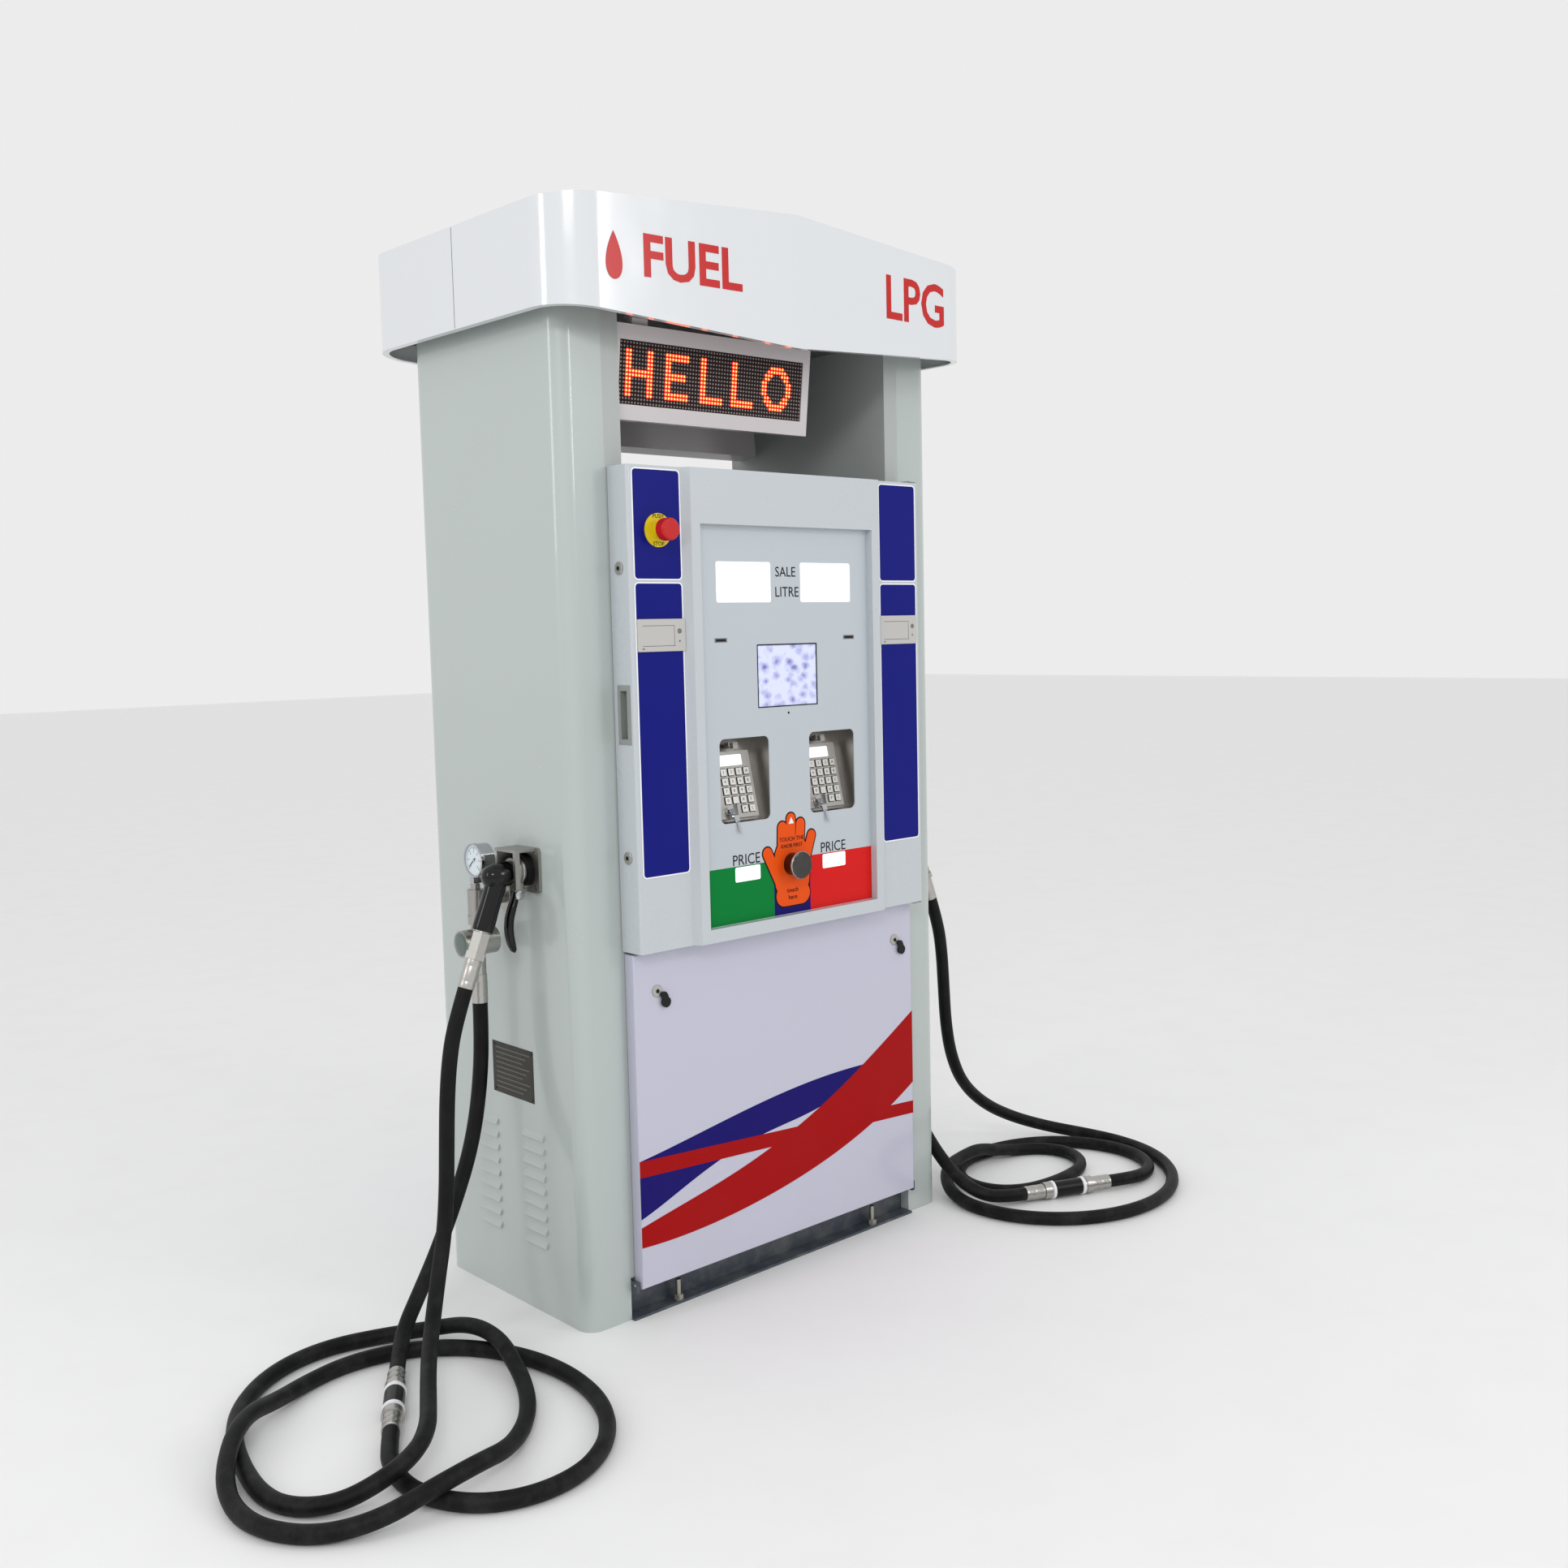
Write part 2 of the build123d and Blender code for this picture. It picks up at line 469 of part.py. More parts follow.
with BuildPart() as led_hanger:
    for x in (-0.36, 0.36):
        middle = (LED_X[0] + LED_X[1]) / 2 + x * LED_WIDTH
        block((middle - 18, middle + 18), (LED_CENTRE_Y + 6, LED_CENTRE_Y + 22),
              (LED_CENTRE_Z + LED_HEIGHT / 2 - 4, COLUMN_TOP))
with BuildPart() as led_boxes:
    add(led_box.part)
    add(led_hanger.part)
    add(turned(led_box.part))
    add(turned(led_hanger.part))
keep("led_boxes", led_boxes.part)

with BuildPart(led_plane) as led_matrix:
    with Locations((0, 0, -LED_RECESS + 1.5)):
        Box(LED_MATRIX[0], LED_MATRIX[1], 3)
with BuildPart() as led_matrices:
    add(led_matrix.part)
    add(turned(led_matrix.part))
keep("led_matrices", led_matrices.part)


# ================= doors =================
def door_outline(inset):
    """The door seen from above, open at the back: side strips and a raised centre."""
    side = DOOR_HALF_WIDTH - inset
    slope = CENTRE_HALF_WIDTH + CENTRE_SLOPE - inset / 2
    flat = CENTRE_HALF_WIDTH - inset / 2
    back = -DOOR_BACK + (1 if inset else 0)
    Polygon((-side, back), (-side, -STRIP_FRONT + inset), (-slope, -STRIP_FRONT + inset),
            (-flat, -CENTRE_FRONT + inset), (flat, -CENTRE_FRONT + inset), (slope, -STRIP_FRONT + inset),
            (side, -STRIP_FRONT + inset), (side, back), align=None)
    fillet([v for v in vertices() if v.Y < -DOOR_BACK - 20 and abs(v.X) > slope + 5], 5 - inset)


HINGE_BOSS_R = 9.0
with BuildPart() as door_shell:
    with BuildSketch(Plane.XY.offset(DOOR_BOTTOM)):
        door_outline(0)
    extrude(amount=DOOR_TOP - DOOR_BOTTOM)
    with BuildSketch(Plane.XY.offset(DOOR_BOTTOM + SHEET)):
        door_outline(SHEET)
    extrude(amount=DOOR_TOP - DOOR_BOTTOM - 2 * SHEET, mode=Mode.SUBTRACT)
    block((-RECESS_HALF_WIDTH - SHEET, RECESS_HALF_WIDTH + SHEET), (-CENTRE_FRONT + SHEET / 2, -FACE_PLANE),
          (RECESS_BOTTOM - SHEET, RECESS_TOP + SHEET))
    block((-RECESS_HALF_WIDTH, RECESS_HALF_WIDTH), (-CENTRE_FRONT - 1, -FACE_PLANE + 1),
          (RECESS_BOTTOM, RECESS_TOP), Mode.SUBTRACT)
    for z in (DOOR_BOTTOM, DOOR_TOP - PIN_LENGTH):
        rod((HINGE_X, -HINGE_Y, z), (HINGE_X, -HINGE_Y, z + PIN_LENGTH), HINGE_BOSS_R)
    for z in (DOOR_BOTTOM - 1, DOOR_TOP - PIN_LENGTH - 1):
        rod((HINGE_X, -HINGE_Y, z), (HINGE_X, -HINGE_Y, z + PIN_LENGTH + 2), HINGE_PIN_R + HINGE_CLEARANCE,
            Mode.SUBTRACT)


def cut_lock_hole(z):
    rod((-DOOR_HALF_WIDTH - 1, -DOOR_LOCK_Y, z), (-DOOR_HALF_WIDTH + SHEET + 1, -DOOR_LOCK_Y, z),
        LOCK_R + LOCK_CLEARANCE, Mode.SUBTRACT)


with BuildPart() as front_door:
    add(door_shell.part)
    for z in DOOR_LOCK_HEIGHTS:
        cut_lock_hole(z)
    block((-DOOR_HALF_WIDTH - 1, -DOOR_HALF_WIDTH + SHEET + 1), (-HANDLE_Y[1] + 2, -HANDLE_Y[0] - 2),
          (HANDLE_Z[0] + 2, HANDLE_Z[1] - 2), Mode.SUBTRACT)
    rod((ESTOP_X, -STRIP_FRONT - 1, ESTOP_Z), (ESTOP_X, -STRIP_FRONT + SHEET + 1, ESTOP_Z), 11.0, Mode.SUBTRACT)
keep("front_door", front_door.part)

with BuildPart() as rear_door_front_view:
    add(door_shell.part)
    cut_lock_hole(DOOR_LOCK_HEIGHTS[0])
    with BuildSketch(Plane.XZ.offset(FACE_PLANE - FACE_PLATE_THICK)):
        with Locations((0, (RECESS_BOTTOM + RECESS_TOP) / 2)):
            Rectangle(2 * RECESS_HALF_WIDTH + 2 * SHEET, RECESS_TOP - RECESS_BOTTOM + 2 * SHEET)
    extrude(amount=FACE_PLATE_THICK)
keep("rear_door", turned(rear_door_front_view.part))

HANDLE_DEPTH = 14.0
with BuildPart() as door_handle_cup:
    block((-DOOR_HALF_WIDTH - 1.2, -DOOR_HALF_WIDTH), (-HANDLE_Y[1], -HANDLE_Y[0]), HANDLE_Z)
    block((-DOOR_HALF_WIDTH, -DOOR_HALF_WIDTH + HANDLE_DEPTH), (-HANDLE_Y[1] + 2.3, -HANDLE_Y[0] - 2.3),
          (HANDLE_Z[0] + 2.3, HANDLE_Z[1] - 2.3))
    block((-DOOR_HALF_WIDTH - 2, -DOOR_HALF_WIDTH + HANDLE_DEPTH - 1.2), (-HANDLE_Y[1] + 9, -HANDLE_Y[0] - 8),
          (HANDLE_Z[0] + 10, HANDLE_Z[1] - 10), Mode.SUBTRACT)
keep("door_handle_cup", door_handle_cup.part)


def strip_rectangles(x_limits, z_limits, thickness, corner):
    """Two flat pieces, one on each side strip of a door."""
    with BuildSketch(Plane.XZ.offset(STRIP_FRONT)) as outlines:
        for x in (-1, 1):
            with Locations((x * (x_limits[0] + x_limits[1]) / 2, (z_limits[0] + z_limits[1]) / 2)):
                RectangleRounded(x_limits[1] - x_limits[0], z_limits[1] - z_limits[0], corner)
    extrude(outlines.sketch, amount=thickness)


with BuildPart() as front_blue_panels:
    strip_rectangles(BLUE_PANEL_X, BLUE_UPPER_Z, BLUE_THICK, 7)
    strip_rectangles(BLUE_PANEL_X, BLUE_LOWER_Z, BLUE_THICK, 7)
    rod((ESTOP_X, -STRIP_FRONT - 2, ESTOP_Z), (ESTOP_X, -STRIP_FRONT + 1, ESTOP_Z), 11.0, Mode.SUBTRACT)
    for x in (-1, 1):
        block((x * READER_X[0], x * (READER_X[1] + 2)), (-STRIP_FRONT - 2, -STRIP_FRONT + 1), READER_Z,
              Mode.SUBTRACT)
keep("front_blue_panels", front_blue_panels.part)

with BuildPart() as front_card_readers:
    strip_rectangles(READER_X, READER_Z, READER_THICK, 3)
    fillet(faces().filter_by(Axis.Y).group_by(Axis.Y)[0].edges(), 1.2)
keep("front_card_readers", front_card_readers.part)

BOWL_CENTRE_Z = (BOWL_Z[0] + BOWL_Z[1]) / 2
with BuildPart() as front_face_plate:
    with BuildSketch(Plane.XZ.offset(FACE_PLANE - FACE_PLATE_THICK)):
        with Locations((0, (RECESS_BOTTOM + RECESS_TOP) / 2)):
            Rectangle(2 * RECESS_HALF_WIDTH + 2 * SHEET, RECESS_TOP - RECESS_BOTTOM + 2 * SHEET)
        for x in (-1, 1):
            with Locations((x * (WINDOW_X[0] + WINDOW_X[1]) / 2, (WINDOW_Z[0] + WINDOW_Z[1]) / 2)):
                RectangleRounded(WINDOW_X[1] - WINDOW_X[0], WINDOW_Z[1] - WINDOW_Z[0], 4, mode=Mode.SUBTRACT)
            with Locations((x * (PRICE_X[0] + PRICE_X[1]) / 2, (PRICE_Z[0] + PRICE_Z[1]) / 2)):
                RectangleRounded(PRICE_X[1] - PRICE_X[0], PRICE_Z[1] - PRICE_Z[0], 4, mode=Mode.SUBTRACT)
            with Locations((x * BOWL_X, BOWL_CENTRE_Z)):
                RectangleRounded(2 * BOWL_HALF_WIDTH, BOWL_Z[1] - BOWL_Z[0], 12, mode=Mode.SUBTRACT)
        with Locations((0, (SCREEN_Z[0] + SCREEN_Z[1]) / 2)):
            Rectangle(2 * SCREEN_HALF_WIDTH, SCREEN_Z[1] - SCREEN_Z[0], mode=Mode.SUBTRACT)
        with Locations((0, ESD_Z)):
            Circle(6.5, mode=Mode.SUBTRACT)
    extrude(amount=FACE_PLATE_THICK)
keep("front_face_plate", front_face_plate.part)

PLATE_BACK = FACE_PLANE - FACE_PLATE_THICK


def panes(x_limits, z_limits):
    """Two window panes behind the face plate, lapping its cut-outs."""
    with BuildSketch(Plane.XZ.offset(PLATE_BACK - PANE_THICK)) as outlines:
        for x in (-1, 1):
            with Locations((x * (x_limits[0] + x_limits[1]) / 2, (z_limits[0] + z_limits[1]) / 2)):
                Rectangle(x_limits[1] - x_limits[0] + 2 * PANE_LAP, z_limits[1] - z_limits[0] + 2 * PANE_LAP)
    extrude(outlines.sketch, amount=PANE_THICK)


with BuildPart() as front_display_windows:
    panes(WINDOW_X, WINDOW_Z)
    panes(PRICE_X, PRICE_Z)
keep("front_display_windows", front_display_windows.part)

with BuildPart() as rear_trim_front_view:
    with BuildSketch(Plane.XZ.offset(FACE_PLANE)) as rear_windows:
        for x in (-1, 1):
            with Locations((x * (WINDOW_X[0] + WINDOW_X[1]) / 2, (WINDOW_Z[0] + WINDOW_Z[1]) / 2)):
                Rectangle(WINDOW_X[1] - WINDOW_X[0], WINDOW_Z[1] - WINDOW_Z[0])
    extrude(rear_windows.sketch, amount=BLUE_THICK)
    strip_rectangles(BLUE_PANEL_X, BLUE_UPPER_Z, BLUE_THICK, 7)
    strip_rectangles(BLUE_PANEL_X, BLUE_LOWER_Z, BLUE_THICK, 7)
keep("rear_displays", turned(rear_trim_front_view.part))

with BuildPart() as media_screen:
    block((-SCREEN_HALF_WIDTH - 8, SCREEN_HALF_WIDTH + 8), (-PLATE_BACK, -PLATE_BACK + 26),
          (SCREEN_Z[0] - 8, SCREEN_Z[1] + 8))
    block((-SCREEN_HALF_WIDTH + 0.3, SCREEN_HALF_WIDTH - 0.3), (-PLATE_BACK - 1, -PLATE_BACK),
          (SCREEN_Z[0] + 0.3, SCREEN_Z[1] - 0.3))
keep("media_screen", media_screen.part)

# The keypad's own frame: local X across, local Y up its face, local Z out towards the customer.
PAD_CENTRE = (BOWL_Z[0] + BOWL_Z[1]) / 2 - 10
pad_tilt = radians(KEYPAD_TILT)
BOWL_DEPTH_LOW = 24.0
BOWL_DEPTH_HIGH = 56.0


def pad_plane(x):
    """The plane of a keypad's front face."""
    return Plane(origin=(x, -FACE_PLANE + 26, PAD_CENTRE), x_dir=(1, 0, 0), z_dir=(0, -cos(pad_tilt), sin(pad_tilt)))


SWITCH_AT = (-28.0, -50.0)
SWITCH_R = 8.0
KEY_ROWS = 5
KEY_COLUMNS = 4
KEY_TOP = 24.0
KEY_FIRST_X = -29.0


def key_places():
    """Centres of the keys in the keypad's frame; the key switch takes the place of two."""
    return [(KEY_FIRST_X + column * KEY_PITCH_X, KEY_TOP - row * KEY_PITCH_Z)
            for row in range(KEY_ROWS) for column in range(KEY_COLUMNS)
            if not (row == KEY_ROWS - 1 and column < 2)]


LCD_SIZE = (66.0, 22.0)
LCD_AT = (-8.0, 47.0)
with BuildPart() as keypad_bowls:
    for x in (-BOWL_X, BOWL_X):
        outer = 2 * BOWL_HALF_WIDTH + 2 * BOWL_WALL
        with BuildSketch(Plane.YZ.offset(x - outer / 2)):
            Polygon((-PLATE_BACK, BOWL_Z[0] - BOWL_WALL), (-PLATE_BACK, BOWL_Z[1] + BOWL_WALL),
                    (-FACE_PLANE + BOWL_DEPTH_HIGH + BOWL_WALL, BOWL_Z[1] - 4),
                    (-FACE_PLANE + BOWL_DEPTH_LOW + BOWL_WALL, BOWL_Z[0] - BOWL_WALL), align=None)
        extrude(amount=outer)
        block((x - outer / 2 - 6, x + outer / 2 + 6), (-PLATE_BACK, -PLATE_BACK + BOWL_WALL),
              (BOWL_Z[0] - 8, BOWL_Z[1] + 8))
        with BuildSketch(Plane.YZ.offset(x - BOWL_HALF_WIDTH)):
            Polygon((-PLATE_BACK - 1, BOWL_Z[0]), (-PLATE_BACK - 1, BOWL_Z[1]),
                    (-FACE_PLANE + BOWL_DEPTH_HIGH, BOWL_Z[1] - 5.5),
                    (-FACE_PLANE + BOWL_DEPTH_LOW, BOWL_Z[0]), align=None)
        extrude(amount=2 * BOWL_HALF_WIDTH, mode=Mode.SUBTRACT)
    for x in (-BOWL_X, BOWL_X):
        with BuildPart(pad_plane(x), mode=Mode.PRIVATE) as pad:
            with Locations((-6, 0, -KEYPAD_SIZE[2] / 2 - 3)):
                Box(KEYPAD_SIZE[0], KEYPAD_SIZE[1], KEYPAD_SIZE[2] + 6)
        add(pad.part)
        with BuildSketch(pad_plane(x)):
            with Locations(*key_places()):
                Rectangle(KEY_SIZE + 2 * KEY_GAP, KEY_SIZE + 2 * KEY_GAP)
            with Locations(LCD_AT):
                Rectangle(LCD_SIZE[0], LCD_SIZE[1])
        extrude(amount=-KEY_DEPTH, mode=Mode.SUBTRACT)
        with BuildSketch(pad_plane(x)):
            with Locations(SWITCH_AT):
                Circle(SWITCH_R + 0.05)
        extrude(amount=-12, mode=Mode.SUBTRACT)
keep("keypad_bowls", keypad_bowls.part)

with BuildPart() as keypad_keys:
    for x in (-BOWL_X, BOWL_X):
        with BuildSketch(pad_plane(x).offset(-KEY_DEPTH + 1.5)):
            with Locations(*key_places()):
                Rectangle(KEY_SIZE, KEY_SIZE)
        extrude(amount=KEY_DEPTH - 1.5 + KEY_PROUD)
keep("keypad_keys", keypad_keys.part)

KEY_BOW_LENGTH = 22.0
for name, x in (("left_key_switch", -BOWL_X), ("right_key_switch", BOWL_X)):
    with BuildPart(pad_plane(x)) as key_switch:
        with Locations((SWITCH_AT[0], SWITCH_AT[1], -5)):
            Cylinder(SWITCH_R, 14)
        with Locations((SWITCH_AT[0], SWITCH_AT[1], 2 + KEY_BOW_LENGTH / 2 - 1)):
            Box(2.2, 8, KEY_BOW_LENGTH)
        with Locations((SWITCH_AT[0], SWITCH_AT[1], KEY_BOW_LENGTH - 3)):
            Box(2.2, 20, 12)
    keep(name, key_switch.part)

with BuildPart() as esd_knob:
    rod((0, -FACE_PLANE, ESD_Z), (0, -FACE_PLANE - 24, ESD_Z), 22)
    rod((0, -FACE_PLANE - 24, ESD_Z), (0, -FACE_PLANE - 31, ESD_Z), 26)
    fillet(faces().sort_by(Axis.Y)[0].edges(), 2.5)
    rod((0, -FACE_PLANE, ESD_Z), (0, -FACE_PLANE + 14, ESD_Z), 6)
    hexagon((0, -PLATE_BACK, ESD_Z), (0, -PLATE_BACK + 6, ESD_Z), 11)
keep("esd_knob", esd_knob.part)

ESTOP_PLATE_THICK = 2.0
ESTOP_BARREL_FRONT = STRIP_FRONT + 14.0
ESTOP_TRAVEL = 5.0
with BuildPart() as estop_collar:
    rod((ESTOP_X, -STRIP_FRONT - BLUE_THICK, ESTOP_Z), (ESTOP_X, -STRIP_FRONT - BLUE_THICK - ESTOP_PLATE_THICK, ESTOP_Z),
        ESTOP_PLATE_R)
    rod((ESTOP_X, -STRIP_FRONT - BLUE_THICK, ESTOP_Z), (ESTOP_X, -ESTOP_BARREL_FRONT, ESTOP_Z), 14)
    rod((ESTOP_X, -STRIP_FRONT - BLUE_THICK, ESTOP_Z), (ESTOP_X, -STRIP_FRONT + 30, ESTOP_Z), 10.8)
    rod((ESTOP_X, -STRIP_FRONT + SHEET, ESTOP_Z), (ESTOP_X, -STRIP_FRONT + SHEET + 5, ESTOP_Z), 15)
    rod((ESTOP_X, -ESTOP_BARREL_FRONT - 1, ESTOP_Z), (ESTOP_X, -STRIP_FRONT + 31, ESTOP_Z),
        ESTOP_STEM_R + ESTOP_CLEARANCE, Mode.SUBTRACT)
keep("estop_collar", estop_collar.part)

ESTOP_HEAD_FRONT = STRIP_FRONT + 40.0
ESTOP_HEAD_BACK = ESTOP_BARREL_FRONT + ESTOP_TRAVEL + 1
ESTOP_SPINDLE_R = 3.0
with BuildPart() as estop_stem:
    rod((ESTOP_X, -ESTOP_HEAD_BACK - 10, ESTOP_Z), (ESTOP_X, -STRIP_FRONT + 24, ESTOP_Z), ESTOP_SPINDLE_R)
    rod((ESTOP_X, -ESTOP_HEAD_BACK, ESTOP_Z), (ESTOP_X, -STRIP_FRONT + 24, ESTOP_Z), ESTOP_STEM_R)
keep("estop_stem", estop_stem.part)
with BuildPart() as estop_mushroom:
    rod((ESTOP_X, -ESTOP_HEAD_BACK, ESTOP_Z), (ESTOP_X, -ESTOP_HEAD_FRONT, ESTOP_Z), ESTOP_HEAD_R)
    fillet(faces().sort_by(Axis.Y)[0].edges(), 4)
    rod((ESTOP_X, -ESTOP_HEAD_BACK + 1, ESTOP_Z), (ESTOP_X, -ESTOP_HEAD_BACK - 10.3, ESTOP_Z),
        ESTOP_SPINDLE_R + ESTOP_CLEARANCE, Mode.SUBTRACT)
keep("estop_mushroom", estop_mushroom.part)


def door_lock(z):
    """A cylinder lock in the door's left side face, its cam hanging down when unlocked."""
    face_x = -DOOR_HALF_WIDTH - 1.5
    with BuildPart() as lock:
        rod((face_x, -DOOR_LOCK_Y, z), (CAM_PLANE_X - CAM_THICK / 2, -DOOR_LOCK_Y, z), LOCK_R)
        block((CAM_PLANE_X - CAM_THICK / 2, CAM_PLANE_X + CAM_THICK / 2),
              (-DOOR_LOCK_Y - 7, -DOOR_LOCK_Y + 7), (z - CAM_REACH, z + 7))
        block((face_x - 1, face_x + 3), (-DOOR_LOCK_Y - 0.6, -DOOR_LOCK_Y + 0.6), (z - 4, z + 4), Mode.SUBTRACT)
    return lock.part


keep("upper_door_lock", door_lock(DOOR_LOCK_HEIGHTS[0]))
keep("lower_door_lock", door_lock(DOOR_LOCK_HEIGHTS[1]))
keep("rear_door_lock", turned(door_lock(DOOR_LOCK_HEIGHTS[0])))


# ================= lower panels =================
def lower_panel(lock_places):
    """A shallow tray that hooks on two pins at the bottom and locks at the top."""
    with BuildPart() as panel:
        with BuildSketch(Plane.XZ.offset(DOOR_BACK)):
            with Locations((0, (PANEL_BOTTOM + PANEL_TOP) / 2)):
                Rectangle(2 * PANEL_HALF_WIDTH, PANEL_TOP - PANEL_BOTTOM)
        extrude(amount=PANEL_FRONT - DOOR_BACK)
        fillet(faces().filter_by(Axis.Y).sort_by(Axis.Y)[0].edges(), 3)
        block((-PANEL_HALF_WIDTH + SHEET, PANEL_HALF_WIDTH - SHEET), (-PANEL_FRONT + SHEET, -DOOR_BACK + 1),
              (PANEL_BOTTOM + SHEET, PANEL_TOP - SHEET), Mode.SUBTRACT)
        for end in (-1, 1):
            rod((end * (PANEL_HALF_WIDTH - 8), -PANEL_PIVOT_Y, PANEL_PIVOT_Z),
                (end * (DOORWAY_HALF - 1), -PANEL_PIVOT_Y, PANEL_PIVOT_Z), HINGE_PIN_R / 2 + 1)
        for x in lock_places:
            rod((x, -PANEL_FRONT - 1, PANEL_LOCK_Z), (x, -PANEL_FRONT + SHEET + 1, PANEL_LOCK_Z),
                LOCK_R + LOCK_CLEARANCE, Mode.SUBTRACT)
    return panel.part


PANEL_CAM_Y = HALF_D - 9.0      # the cam turns up behind the barrier's rail
COVER_PIVOT = (9.0, -9.5)
COVER_PIN_R = 1.5


def panel_lock(x, cam_side=1):
    """A cylinder lock through the panel, its cam lying sideways when unlocked."""
    with BuildPart() as lock:
        rod((x, -PANEL_FRONT - 2.5, PANEL_LOCK_Z), (x, -PANEL_CAM_Y + CAM_THICK / 2, PANEL_LOCK_Z), LOCK_R)
        block((x - cam_side * 7, x + cam_side * CAM_REACH), (-PANEL_CAM_Y - CAM_THICK / 2, -PANEL_CAM_Y + CAM_THICK / 2),
              (PANEL_LOCK_Z - 7, PANEL_LOCK_Z + 7))
        block((x - 4, x + 4), (-PANEL_FRONT - 3, -PANEL_FRONT), (PANEL_LOCK_Z - 0.6, PANEL_LOCK_Z + 0.6), Mode.SUBTRACT)
    return lock.part


COVER_PLANE = PANEL_FRONT + 3.0


def lock_cover(x):
    """A rubber dust cover hanging open beside the lock, on a small pin."""
    with BuildPart() as cover:
        pivot = (x + COVER_PIVOT[0] + 4, PANEL_LOCK_Z + COVER_PIVOT[1])
        with BuildSketch(Plane.XZ.offset(COVER_PLANE)):
            with Locations((pivot[0], pivot[1])):
                Circle(7)
            with Locations((pivot[0] + 4, pivot[1] - 13)):
                Circle(10)
            with Locations((pivot[0] + 2, pivot[1] - 6)):
                Rectangle(13, 12)
        extrude(amount=4)
        rod((pivot[0], -COVER_PLANE, pivot[1]), (pivot[0], -PANEL_FRONT + SHEET, pivot[1]), COVER_PIN_R)
    return cover.part


with BuildPart() as front_lower_panel:
    add(lower_panel((-PANEL_LOCK_X, PANEL_LOCK_X)))
    for x in (-PANEL_LOCK_X, PANEL_LOCK_X):
        pivot_x = x + COVER_PIVOT[0] + 4
        rod((pivot_x, -PANEL_FRONT - 1, PANEL_LOCK_Z + COVER_PIVOT[1]),
            (pivot_x, -PANEL_FRONT + SHEET + 1, PANEL_LOCK_Z + COVER_PIVOT[1]), COVER_PIN_R + 0.05, Mode.SUBTRACT)
keep("front_lower_panel", front_lower_panel.part)
keep("left_panel_lock", panel_lock(-PANEL_LOCK_X))
keep("right_panel_lock", panel_lock(PANEL_LOCK_X, -1))
keep("left_lock_cover", lock_cover(-PANEL_LOCK_X))
keep("right_lock_cover", lock_cover(PANEL_LOCK_X))
keep("rear_lower_panel", turned(lower_panel((0,))))
keep("rear_panel_lock", turned(panel_lock(0)))

# ================= side fittings =================
with BuildPart() as nameplate:
    block((-HALF_W - 0.8, -HALF_W), (-90, 47), (401, 500))
    for y in (-84, 41):
        for z in (407, 494):
            rod((-HALF_W - 1.6, y, z), (-HALF_W, y, z), 2.4)
keep("nameplate", nameplate.part)

PANEL_X = -HALF_W
HOOD_TOP = BOOT_Z + BOOT_FLANGE / 2
with BuildPart() as left_boot:
    block((PANEL_X - BOOT_FLANGE_THICK, PANEL_X), (BOOT_Y - BOOT_FLANGE / 2, BOOT_Y + BOOT_FLANGE / 2),
          (BOOT_Z - BOOT_FLANGE / 2, BOOT_Z + BOOT_FLANGE / 2))
    fillet(edges().filter_by(Axis.X), 8)
    block((PANEL_X - 50, PANEL_X - 1), (BOOT_Y - BOOT_ARM_GAP - 7, BOOT_Y + BOOT_ARM_GAP + 7),
          (HOOD_TOP - 5, HOOD_TOP))
    block((PANEL_X - 44, PANEL_X - 1), (BOOT_Y + BOOT_ARM_GAP, BOOT_Y + BOOT_ARM_GAP + 6), (BOOT_Z - 8, HOOD_TOP))
    for side in (-1, 1):
        arm_y = (BOOT_Y + side * BOOT_ARM_GAP, BOOT_Y + side * (BOOT_ARM_GAP + 7))
        block((PANEL_X - 50, PANEL_X - 40), arm_y, (BOOT_Z - 30, HOOD_TOP))
    for y in (-1, 1):
        for z in (-1, 1):
            corner = (BOOT_Y + y * 31, BOOT_Z + z * 31)
            rod((PANEL_X - BOOT_FLANGE_THICK - 1, *corner), (PANEL_X - BOOT_FLANGE_THICK + 2, *corner), 5,
                Mode.SUBTRACT)
            rod((PANEL_X - BOOT_FLANGE_THICK + 0.5, *corner), (PANEL_X - BOOT_FLANGE_THICK + 3, *corner), 4)
with BuildPart() as left_seat:
    rod((PANEL_X - BOOT_FLANGE_THICK - SEAT_GAP, BOOT_Y, BOOT_Z), (PANEL_X - BOOT_FLANGE_THICK - 13, BOOT_Y, BOOT_Z),
        SEAT_R)
    fillet(faces().sort_by(Axis.X)[0].edges(), 4)
    rod((PANEL_X - BOOT_FLANGE_THICK - 3, BOOT_Y, BOOT_Z), (PANEL_X - BOOT_FLANGE_THICK - 14, BOOT_Y, BOOT_Z),
        SEAT_BORE_R, Mode.SUBTRACT)
keep("nozzle_boots", both_sides(left_boot.part, left_seat.part))

